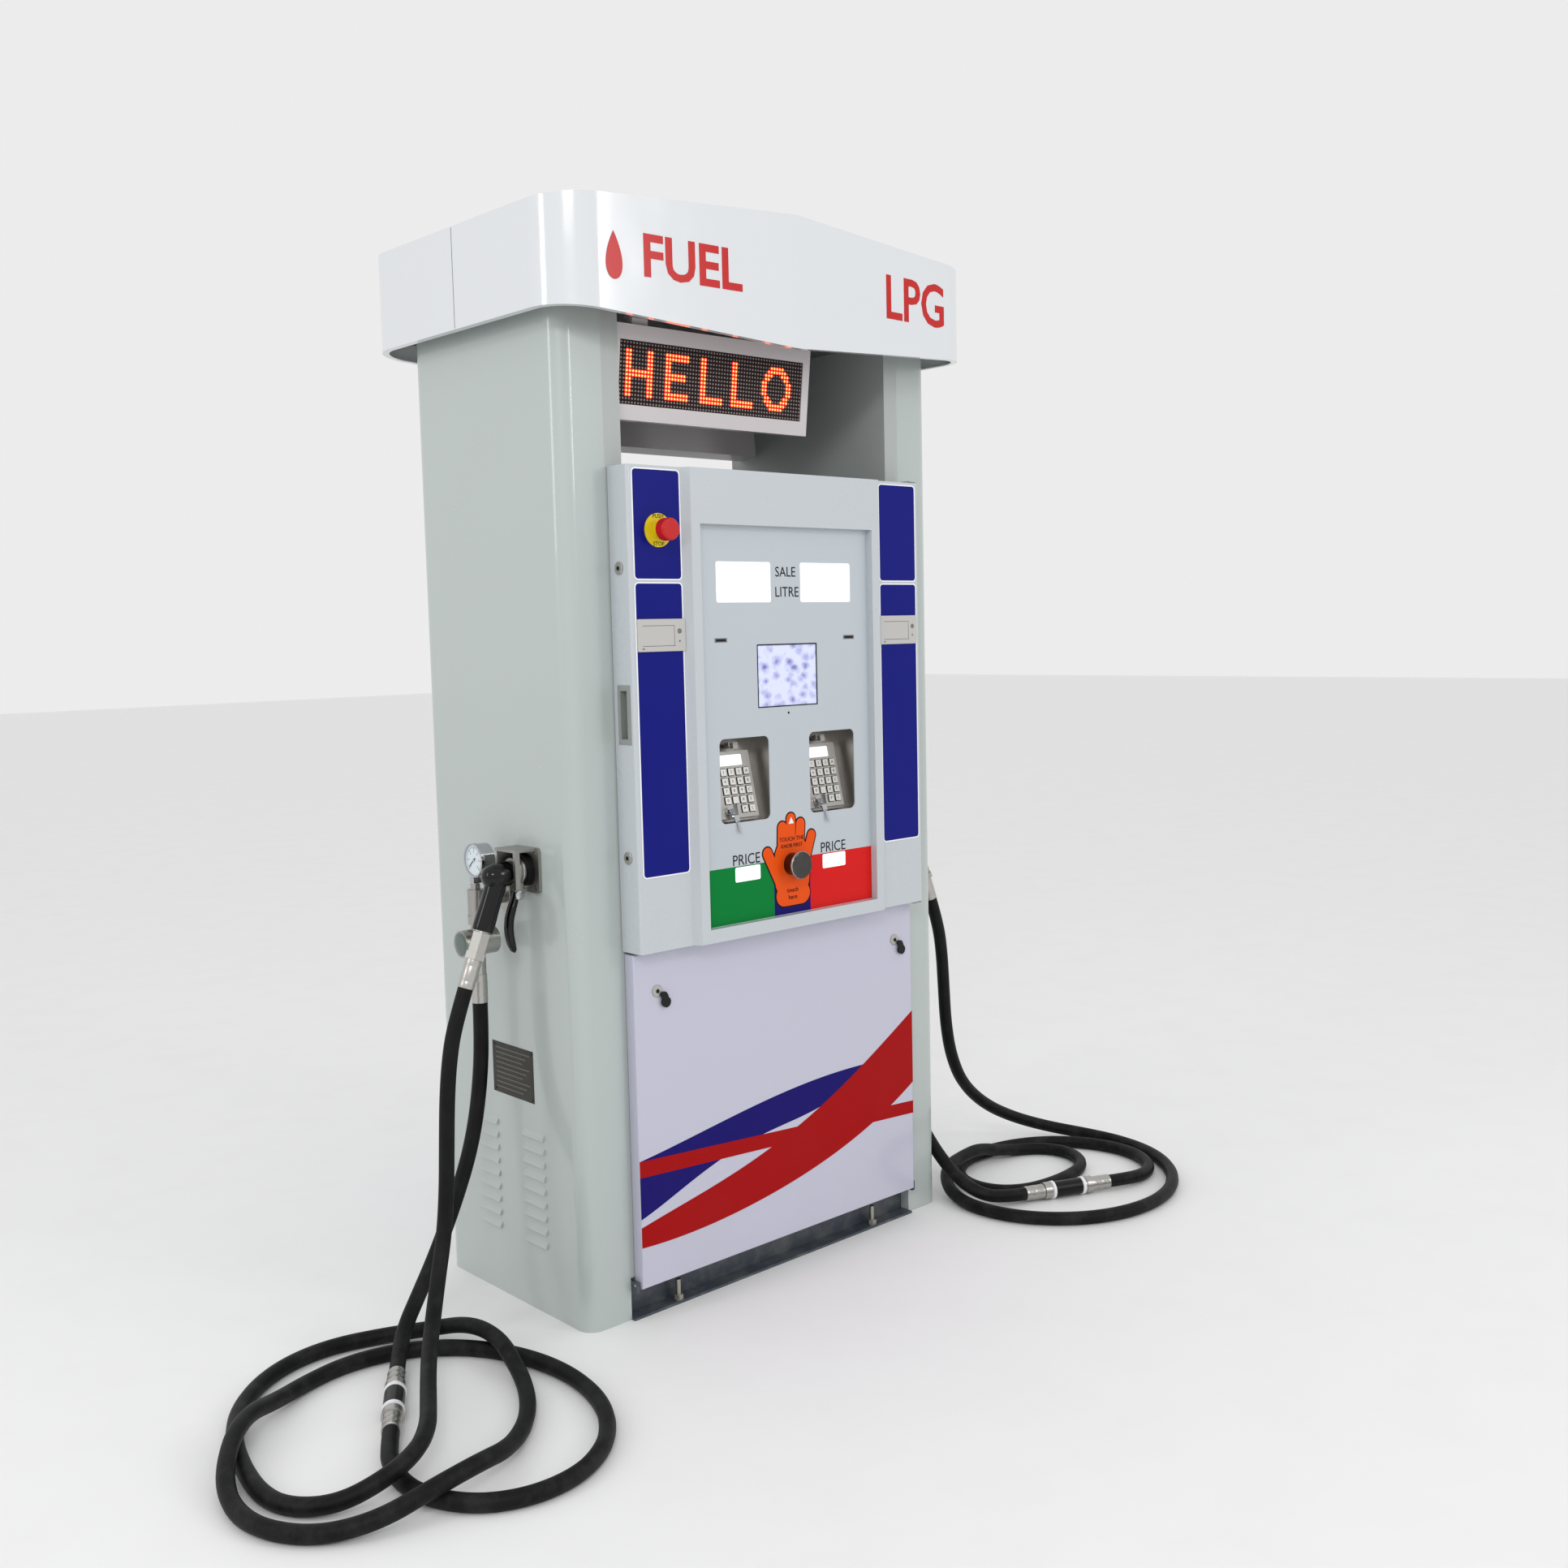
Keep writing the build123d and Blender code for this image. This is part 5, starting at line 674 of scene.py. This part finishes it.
# pale outlines of the blue panels, card reader details
strip = {"film": -0.2988, "reader": -0.3025, "x": (0.258, 0.363), "heights": ((1.3645, 1.5565), (0.833,
                                                                                                 1.357)),
         "line": 0.0022, "inset": 0.0004, "readerX": 0.3085}
frames = []
for side in (-1, 1):
    for low, high in strip["heights"]:
        left, right = sorted(side * x for x in strip["x"])
        outer, inner = ((left - grow, right + grow, low - grow, high + grow, radius)
                        for grow, radius in ((strip["line"], 0.009), (-strip["inset"], 0.0066)))
        frames.append(ringData(roundedBox(*outer), roundedBox(*inner), strip["film"] - 0.0003,
                               strip["film"] + 0.0007))
points, faces = joined(frames)
meshPiece("blue_panel_outlines", points, faces, "front_door", "inkWhite")
readerMarks = [roundedBox(-0.044, 0.028, 1.2815, 1.2825, 0.0002, 3),
               roundedBox(-0.044, 0.030, 1.2455, 1.2465, 0.0002, 3),
               roundedBox(0.0275, 0.0285, 1.246, 1.282, 0.0002, 3), capsule(0.0399, 1.272, 0.0401, 1.272,
                                                                            0.0048),
               roundedBox(-0.045, -0.040, 1.240, 1.2425, 0.0003, 3), capsule(0.0399, 1.254, 0.0401, 1.254,
                                                                             0.002)]
decal("reader_marks", [np.array(mark) + [side * strip["readerX"], 0] for side in (-1,
                                                                                  1) for mark in readerMarks],
      strip["reader"] - 0.0002, "front_door", "inkGrey")
points, faces = joined([textData("STOP", 0.0105, (-0.309, strip["film"] - 0.0022, 1.4505 - 0.0245)),
                        textData("PUSH", 0.0105, (-0.309, strip["film"] - 0.0022, 1.4505 + 0.0245))])
meshPiece("stop_words", points, faces, "front_door", "inkBlack")

# keypads: pale display, key digits
pad = {"tilt": math.radians(13), "centre": (0.115, -0.271, 0.9805), "columns": (-29, -10, 9, 28),
       "rows": (24, 6, -12, -30, -48),
       "digits": ("1", "2", "3", "A", "4", "5", "6", "B", "7", "8", "9", "C", "0", ".", "X", "E", "", "", "P",
                  "L"),
       "digitSize": 0.008, "gapHalf": (0.0079, 0.0078), "gapRadius": 0.0016,
       "display": (-0.0405, 0.0245, 0.0365, 0.0575, 0.001),
       "hung": (((-0.028, -0.052, -0.027, -0.058, 0.0065), -0.0100, -0.0078),
                ((-0.0245, -0.062, -0.0235, -0.068, 0.0060), -0.0124, -0.0104),
                ((-0.0225, -0.072, -0.0195, -0.092, 0.0026), -0.0124, -0.0106)),
       "bracket": (((-0.012, 0.012, 0.071, 0.080, 0.002), -0.010, 0.004),
                   ((-0.006, 0.006, 0.066, 0.078, 0.002), -0.016, -0.008))}


def onPad(points, side, lift):
    # x and z of a flat shape become across and up the keypad's tilted face, and y becomes height off it
    across, out, up = points[:, 0], points[:, 1], points[:, 2]
    rise = up[:, None] * np.array([0, math.sin(pad["tilt"]), math.cos(pad["tilt"])])
    proud = (lift - out)[:, None] * np.array([0, -math.cos(pad["tilt"]), math.sin(pad["tilt"])])
    origin = np.array([side * pad["centre"][0], pad["centre"][1], pad["centre"][2]])
    return origin + across[:, None] * np.array([1, 0, 0]) + rise + proud


keyPlaces = [(digit, pad["columns"][index % 4] / 1000, pad["rows"][index // 4] / 1000)
             for index, digit in enumerate(pad["digits"]) if digit]
for side, sideName in ((-1, "left"), (1, "right")):
    points, faces = prismData(roundedBox(*pad["display"]), 0.0, 0.004)
    meshPiece(sideName + "_keypad_display", onPad(points, side, -0.0015), faces, "front_door", "displayGlow")
    points, faces = joined([textData(digit, pad["digitSize"], (x, 0, z)) for digit, x, z in keyPlaces])
    meshPiece(sideName + "_key_digits", onPad(points, side, 0.0026), faces, "keypad_keys", "inkBlack")
    halfX, halfZ = pad["gapHalf"]
    points, faces = joined([prismData(roundedBox(x - halfX, x + halfX, z - halfZ, z + halfZ,
                                                 pad["gapRadius"]), 0,
                                      0.002) for digit, x, z in keyPlaces])
    meshPiece(sideName + "_key_gaps", onPad(points, side, 0.0003), faces, "front_door", "inkBlack")
    # a ring and a key hang from the switch
    points, faces = joined([prismData(capsule(*shape), fore, rear) for shape, fore, rear in pad["hung"]])
    meshPiece(sideName + "_hung_keys", onPad(points, side, 0.0), faces, sideName + "_key_switch",
              "mirrorChrome")
    # a small bracket at the top of the bowl
    points, faces = joined([prismData(roundedBox(*shape), fore, rear) for shape, fore,
                            rear in pad["bracket"]])
    meshPiece(sideName + "_bowl_bracket", onPad(points, side, 0.0), faces, "front_door", "castStainless")

# message board: lamps in 16 rows of 64
board = {"pitch": 0.007, "tilt": math.radians(6.5), "x": -0.0975, "z": 1.7365, "half": 0.056,
         "lampRadius": 0.0018, "haloRadius": 0.0036}


def boardText():
    # strokes of two lamps spell a greeting on the grid
    lit = np.zeros((16, 64), bool)
    rows, columns = np.mgrid[0:16, 0:64]

    def bar(top, bottom, left, right):
        lit[top:bottom, left:right] = True
    for left, word in ((2, "H"), (15, "E"), (27, "L"), (38, "L")):
        bar(2, 14, left, left + 2)
        if word == "H":
            bar(2, 14, left + 7, left + 9)
            bar(7, 9, left, left + 9)
        if word == "E":
            bar(2, 4, left, left + 8)
            bar(7, 9, left, left + 7)
        if word in "EL":
            bar(12, 14, left, left + 8)
    ring = ((columns - 54.0) / 5.4) ** 2 + ((rows - 7.5) / 6.4) ** 2
    lit |= (ring < 1.0) & (ring > 0.40)
    return lit


def lampDiscs(places, radius, depth, around=8):
    # one short disc at each place, all made at once
    turn = np.linspace(0, 2 * math.pi, around, endpoint=False)
    ring = np.stack([radius * np.cos(turn), np.zeros(around), radius * np.sin(turn)], axis=1)
    disc = np.vstack([ring, ring + [0, depth, 0]])
    points = (places[:, None, :] + disc[None]).reshape(-1, 3)
    base = (np.arange(len(places)) * 2 * around)[:, None]
    fore = base + np.arange(around)[None]
    here, after = np.arange(around), (np.arange(around) + 1) % around
    loop = np.stack([here, here + around, after + around, after], axis=1)
    sides = (base[:, :, None] + loop[None]).reshape(-1, 4)
    return points, fore.tolist() + sides.tolist()


def onBoard(points, side):
    # a point across, out of and up the board, leaned so that its lower edge lies further back
    lean = np.array([[1, 0, 0], [0, math.cos(board["tilt"]), math.sin(board["tilt"])],
                     [0, -math.sin(board["tilt"]), math.cos(board["tilt"])]])
    low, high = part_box("led_matrices")
    frontMiddle = low[1] + board["half"] * math.sin(board["tilt"])
    turned = points @ lean + [board["x"], frontMiddle, board["z"]]
    return turned if side < 0 else turned * [-1, -1, 1]


lit = boardText()
rows, columns = np.mgrid[0:16, 0:64]
lampPlace = np.stack([(columns - 31.5) * board["pitch"], np.zeros((16, 64)), (7.5 - rows) * board["pitch"]],
                     axis=-1)
for side, sideName in ((-1, "front"), (1, "rear")):
    for kind, mask, radius, lift, finish in (("dark", ~lit, board["lampRadius"], 0.0006, "lampOff"),
                                             ("halo", lit, board["haloRadius"], 0.0004, "lampHalo"),
                                             ("bright", lit, board["lampRadius"], 0.0010, "lampOn")):
        places = lampPlace[mask] - [0, lift, 0]
        points, faces = lampDiscs(places, radius, lift * 0.9)
        meshPiece(sideName + "_lamps_" + kind, onBoard(points, side), faces, "cabinet", finish)
print("message boards lit")

# canopy lettering
canopy = {"peak": 0.348, "fall": 0.020 / 0.522, "proud": 0.0003, "thick": 0.0006,
          "drop": {"x": -0.412, "z": 1.905, "half": 0.022, "tall": 0.040},
          "seam": {"half": 0.0008, "low": 1.822, "high": 1.998, "face": 0.5222, "thick": 0.0003}}


def onFascia(points, proud):
    # the long side runs back evenly from its peak at the middle
    moved = np.array(points)
    moved[:, 1] += -(canopy["peak"] - canopy["fall"] * np.abs(moved[:, 0])) - proud
    return moved


points, faces = textData("LPG", 0.118, (0.336, 0, 1.9125), bold=0.0018, stretch=0.92, depth=canopy["thick"])
meshPiece("canopy_letters", onFascia(points, canopy["proud"]), faces, "cabinet", "signRed")
points, faces = textData("FUEL", 0.100, (-0.245, 0, 1.909), bold=0.0022, stretch=1.02, depth=canopy["thick"])
meshPiece("canopy_word", onFascia(points, canopy["proud"]), faces, "cabinet", "signRed")
# half width of the drop = sine of the turn times sine of half the turn
drop = canopy["drop"]
turn = np.linspace(0, 2 * math.pi, 49)[:-1]
outline = np.stack([drop["x"] + drop["half"] * np.sin(turn) * np.sin(turn / 2),
                    drop["z"] + drop["tall"] * np.cos(turn)], axis=1)
points, faces = prismData(outline, 0.0, canopy["thick"])
meshPiece("canopy_drop", onFascia(points, canopy["proud"] + canopy["thick"]), faces, "cabinet", "signRed")

# the canopy's shell is joined at the middle of each short side
seam = canopy["seam"]
seamOutline = np.array([(-seam["half"], seam["low"]), (seam["half"], seam["low"]), (seam["half"],
                                                                                    seam["high"]),
                        (-seam["half"], seam["high"])])
for side, sideName in ((-1, "left"), (1, "right")):
    points, faces = prismData(seamOutline, 0, seam["thick"])
    place = np.stack([side * (seam["face"] - points[:, 1]), side * points[:, 0], points[:, 2]], axis=1)
    meshPiece(sideName + "_canopy_seam", place, faces, "cabinet", "inkGrey")

# nameplate: blank ruled lines
plate = {"x": -0.4758, "rows": 9, "top": 0.489, "pitch": 0.0095, "start": -0.078, "end": 0.036, "step": 0.012,
         "half": 0.0011, "thick": 0.0002, "shift": 0.043}
blocks = []
for row in range(plate["rows"]):
    z = plate["top"] - row * plate["pitch"]
    end = plate["end"] - plate["step"] * (row % 3)
    points, faces = prismData(roundedBox(plate["start"], end, z - plate["half"], z + plate["half"], 0.0004,
                                         3), 0,
                              plate["thick"])
    blocks.append((np.stack([plate["x"] - plate["thick"] + points[:, 1], -points[:, 0] - plate["shift"],
                             points[:, 2]], axis=1), faces))
points, faces = joined(blocks)
meshPiece("nameplate_lines", points, faces, "cabinet", "plateInk")

# side fittings, left and right
boot = {"y": -0.100, "z": 0.845, "flange": -0.481, "ring": -0.4952, "head": -0.5142, "headDrop": 0.002}
grip = {"turn": math.radians(21.8), "top": (-0.541, -0.100, 0.838), "ferrule": 0.1515, "collar": 0.1005}
gripAxis = np.array([-math.sin(grip["turn"]), 0, -math.cos(grip["turn"])])
outlet = {"x": -0.540, "y": -0.020, "gaugeZ": 0.861, "sightZ": 0.709, "ferruleZ": 0.6500, "pane": 0.0352}
knob = {"x": -0.5050, "out": 0.0105, "z": 0.8010}
headProfile = [(0.0, 0.0202), (0.002, 0.0218), (0.008, 0.0222), (0.018, 0.0228), (0.028, 0.0234), (0.038,
                                                                                                   0.0230),
               (0.046, 0.0208), (0.052, 0.0168), (0.056, 0.0112), (0.0577, 0.0050), (0.058, 0.0008)]
gripProfile = [(-0.004, 0.0188), (0.010, 0.0196), (0.022, 0.0196), (0.030, 0.0190), (0.045, 0.0187),
               (0.060, 0.0189), (0.075, 0.0195), (0.088, 0.0198), (0.096, 0.0194), (0.101, 0.0186),
               (0.1025, 0.0150)]
ferruleProfile = [(0.0, 0.0136), (0.0008, 0.0147), (0.004, 0.0150), (0.012, 0.0151), (0.013, 0.0148),
                  (0.0145, 0.0148), (0.0155, 0.0151), (0.040, 0.0151), (0.041, 0.0148), (0.0425, 0.0148),
                  (0.0435, 0.0151), (0.0525, 0.0150), (0.0545, 0.0144)]
couplingProfile = [(0.0, 0.0215), (0.0006, 0.0246), (0.004, 0.0250), (0.0055, 0.0242), (0.0075, 0.0242),
                   (0.009, 0.0250), (0.015, 0.0250), (0.019, 0.0240), (0.0195, 0.0212)]
seatProfile = [(0.0, 0.0296), (0.003, 0.0300), (0.0055, 0.0294), (0.0065, 0.0294), (0.009, 0.0300),
               (0.0120, 0.0296), (0.0136, 0.0272), (0.0138, 0.0212)]
collarProfile = [(0, 0.012), (0.0005, 0.0165), (0.003, 0.0168), (0.0034, 0.012)]
knobProfile = [(0, 0.0075), (0.002, 0.0085), (0.004, 0.0085), (0.0055, 0.0060), (0.006, 0.0015)]
paneProfile = [(0, 0.0222), (0.0006, 0.0222), (0.0009, 0.0215), (0.0011, 0.0120), (0.0012, 0.0008)]
dial = {"strokes": 31, "sweep": 135, "outer": 0.0252, "long": (0.0195, 0.0005), "short": (0.0222, 0.0003),
        "digitSize": 0.0052, "digitRadius": 0.0160, "needleTurn": math.radians(-128), "lift": 0.0006,
        "needle": ((-0.0011, -0.0060), (0.0011, -0.0060), (0.0004, 0.0215), (-0.0004, 0.0215)),
        "face": [(0, 0.0283), (0.0003, 0.0283)], "hub": [(0, 0.0030), (0.0010, 0.0030), (0.0014, 0.0020)]}


def gaugeMarks():
    # short strokes around three quarters of the dial, every fifth one longer
    marks = []
    for index, angle in enumerate(np.radians(np.linspace(-dial["sweep"], dial["sweep"], dial["strokes"]))):
        inner, width = dial["short" if index % 5 else "long"]
        along = np.array([math.sin(angle), math.cos(angle)])
        across = np.array([along[1], -along[0]])
        marks.append(np.array([along * inner + across * width, along * inner - across * width,
                               along * dial["outer"] - across * width,
                               along * dial["outer"] + across * width]))
    return marks


def onDial(points, lift):
    # a flat drawing in x and z stood on the gauge's face, which looks to the left
    return np.stack([outlet["x"] - lift + points[:, 1], outlet["y"] - points[:, 0],
                     outlet["gaugeZ"] + points[:, 2]], axis=1)


def dialDigits(side):
    # nought to six round the dial, turned over first where the whole gauge is mirrored
    angles = np.radians(np.linspace(-dial["sweep"], dial["sweep"], 7))
    points, faces = joined([textData(str(value), dial["digitSize"], (math.sin(angle) * dial["digitRadius"], 0,
                                     math.cos(angle) * dial["digitRadius"]), depth=0.0001)
                            for value, angle in enumerate(angles)])
    if side > 0:
        points, faces = points * [-1, 1, 1], [loop[::-1] for loop in faces]
    return points, faces


def dialNeedle():
    swing = dial["needleTurn"]
    turned = np.array([[math.cos(swing), math.sin(swing)], [-math.sin(swing), math.cos(swing)]])
    return prismData(np.array(dial["needle"]) @ turned.T, 0.0, 0.0004)


bootAt, leftward = (boot["y"], boot["z"]), (-1, 0, 0)
gaugeAt = (outlet["y"], outlet["gaugeZ"])
top = np.array(grip["top"])
for side, sideName in ((-1, "left"), (1, "right")):
    nozzle, swivel = sideName + "_nozzle", sideName + "_swivel"
    turned = (
        ("boot_seal", lathe((boot["flange"], *bootAt), leftward, seatProfile), "cabinet", "blackRubber", 35),
        ("nozzle_coupling_ring", lathe((boot["ring"], *bootAt), leftward, couplingProfile, 64), nozzle,
         "brushedStainless", 30),
        ("nozzle_head", lathe((boot["head"], boot["y"], boot["z"] - boot["headDrop"]), (-1, 0, -0.10),
                              headProfile),
         nozzle, "gripGloss", 40),
        ("nozzle_grip", lathe(top, gripAxis, gripProfile), nozzle, "gripGloss", 40),
        ("swivel_ferrule", lathe(top + gripAxis * grip["ferrule"], gripAxis, ferruleProfile), swivel,
         "crimpMetal",
         30),
        ("grip_collar", lathe(top + gripAxis * grip["collar"], gripAxis, collarProfile), nozzle,
         "turnedMetal", 30),
        ("head_knob", lathe((knob["x"], boot["y"] - knob["out"], knob["z"]), (0, -1, 0), knobProfile, 32),
         nozzle,
         "mirrorChrome", 40),
        ("tail_ferrule", lathe((outlet["x"], outlet["y"], outlet["ferruleZ"]), (0, 0, -1), ferruleProfile),
         "cabinet", "crimpMetal", 30),
        ("sight_pane_outer", lathe((outlet["x"] - outlet["pane"], outlet["y"], outlet["sightZ"]), leftward,
                                   paneProfile), "cabinet", "sightGlass", 40),
        ("sight_pane_inner", lathe((outlet["x"] + outlet["pane"], outlet["y"], outlet["sightZ"]), (1, 0, 0),
                                   paneProfile), "cabinet", "sightGlass", 40),
        ("gauge_face", lathe((outlet["x"] - 0.0001, *gaugeAt), leftward, dial["face"]), "cabinet",
         "gaugeDial",
         None))
    flat = (("gauge_marks", joined([prismData(mark, 0.0, 0.0002) for mark in gaugeMarks()]), dial["lift"]),
            ("gauge_digits", dialDigits(side), dial["lift"]), ("gauge_needle", dialNeedle(), 0.0014))
    drawn = tuple((label, (onDial(points, lift), faces), "cabinet", "inkBlack", None)
                  for label, (points, faces), lift in flat)
    hub = (("gauge_hub", lathe((outlet["x"] - 0.0010, *gaugeAt), leftward, dial["hub"], 24), "cabinet",
            "mirrorChrome", 30),)
    for label, data, body, finish, smooth in turned + drawn + hub:
        meshPiece(sideName + "_" + label, *mirroredAcross(*data, side), body, finish, smooth)

# each trigger: an oval blade swept along a bowed line, closed at both ends
triggerLine = np.array([(-0.5050, 0.8060), (-0.5080, 0.7920), (-0.5150, 0.7760), (-0.5205, 0.7600),
                        (-0.5225, 0.7430), (-0.5215, 0.7260), (-0.5180, 0.7100), (-0.5140, 0.7000),
                        (-0.5120, 0.6955)])
triggerHalf = np.array([(0.0050, 0.0070), (0.0068, 0.0092), (0.0078, 0.0104), (0.0080, 0.0108),
                        (0.0080, 0.0108), (0.0078, 0.0106), (0.0072, 0.0098), (0.0056, 0.0076),
                        (0.0020, 0.0028)])
triggerSet = {"rows": 41, "around": 28, "rounds": 4, "blend": (0.25, 0.5, 0.25), "smooth": 50}


def makeTrigger(side, sideName):
    steps = np.linspace(0, len(triggerLine) - 1, triggerSet["rows"])
    known = np.arange(len(triggerLine))
    line = np.stack([np.interp(steps, known, triggerLine[:, k]) for k in (0, 1)], axis=1)
    half = np.stack([np.interp(steps, known, triggerHalf[:, k]) for k in (0, 1)], axis=1)
    for blur in range(triggerSet["rounds"]):
        line[1:-1] = np.stack([np.convolve(line[:, k], triggerSet["blend"], "valid") for k in (0, 1)], axis=1)
    heading = np.gradient(line, axis=0)
    heading /= np.linalg.norm(heading, axis=1)[:, None]
    across = np.stack([heading[:, 1], np.zeros(len(line)), -heading[:, 0]], axis=1)
    turn = np.linspace(0, 2 * math.pi, triggerSet["around"], endpoint=False)
    centre = np.stack([line[:, 0], np.full(len(line), boot["y"]), line[:, 1]], axis=1)
    points = (centre[:, None] + half[:, 0][:, None, None] * np.cos(turn)[None, :, None] * across[:, None]
              + half[:, 1][:, None, None] * np.sin(turn)[None, :, None] * np.array([0, 1, 0]))
    points, faces = mirroredAcross(points.reshape(-1, 3), tubeFaces(len(line), len(turn)), side)
    piece = meshPiece(sideName + "_trigger_blade", points, faces, sideName + "_trigger", "gripGloss",
                      triggerSet["smooth"])
    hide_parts(sideName + "_trigger")


makeTrigger(-1, "left")
makeTrigger(1, "right")
print("side fittings made")

# lock faces
lockRing = [(0.0, 0.0085), (0.0004, 0.0112), (0.0016, 0.0112), (0.0024, 0.0100), (0.0026, 0.0045)]
lockCore = [(0.0, 0.0040), (0.0030, 0.0040), (0.0034, 0.0030)]
for lockName, place, direction in (
        ("upper_door_lock", (-0.3741, -0.2685, 1.384), (-1, 0, 0)),
        ("lower_door_lock", (-0.3741, -0.2685, 0.868), (-1, 0, 0)),
        ("left_panel_lock", (-0.317, -0.2666, 0.6155), (0, -1, 0)),
        ("right_panel_lock", (0.317, -0.2666, 0.6155), (0, -1, 0))):
    points, faces = lathe(place, direction, lockRing, 40)
    meshPiece(lockName + "_ring", points, faces, lockName, "crimpMetal", 30)
    points, faces = lathe(place, direction, lockCore, 32)
    meshPiece(lockName + "_core", points, faces, lockName, "blackPlastic", 30)

# floor, sky and lights
stageSet = {"floor": (0.88, 0.88, 0.88), "half": 30, "sky": 0.84}
lightSet = (("keyLight", (-3.2, -3.4, 3.4), (0, 0, 1.0), (1.6, 0.5), 42),
            ("frontLight", (1.6, -4.2, 2.6), (0, 0, 1.1), (0.7, 1.4), 22),
            ("leftLight", (-4.5, 0.6, 2.4), (-0.4, 0, 1.1), (0.8, 1.6), 18))


def makeStage():
    size = stageSet["half"]
    mesh = bpy.data.meshes.new("floor")
    mesh.from_pydata([(-size, -size, 0), (size, -size, 0), (size, size, 0), (-size, size, 0)], [], [(0, 1, 2,
                                                                                                     3)])
    makeFinish("floorPale", stageSet["floor"], 0.6, dirt=0.03, bump=0.0002)
    mesh.materials.append(materials["floorPale"])
    floor = bpy.data.objects.new("floor", mesh)
    bpy.context.scene.collection.objects.link(floor)
    world = bpy.data.worlds.new("paleSky")
    world.use_nodes = True
    world.node_tree.nodes["Background"].inputs["Color"].default_value = (1, 1, 1, 1)
    world.node_tree.nodes["Background"].inputs["Strength"].default_value = stageSet["sky"]
    bpy.context.scene.world = world


def addLight(name, place, target, size, power):
    data = bpy.data.lights.new(name, "AREA")
    data.shape = "RECTANGLE"
    data.size, data.size_y = size
    data.energy = power
    light = bpy.data.objects.new(name, data)
    bpy.context.scene.collection.objects.link(light)
    back = np.asarray(place, float) - np.asarray(target, float)
    light.matrix_world = Matrix.Translation(place) @ Vector(back).to_track_quat("Z", "Y").to_matrix().to_4x4()


makeStage()
for lightRow in lightSet:
    addLight(*lightRow)
bpy.context.scene.view_settings.view_transform = "Standard"
print("stage set")
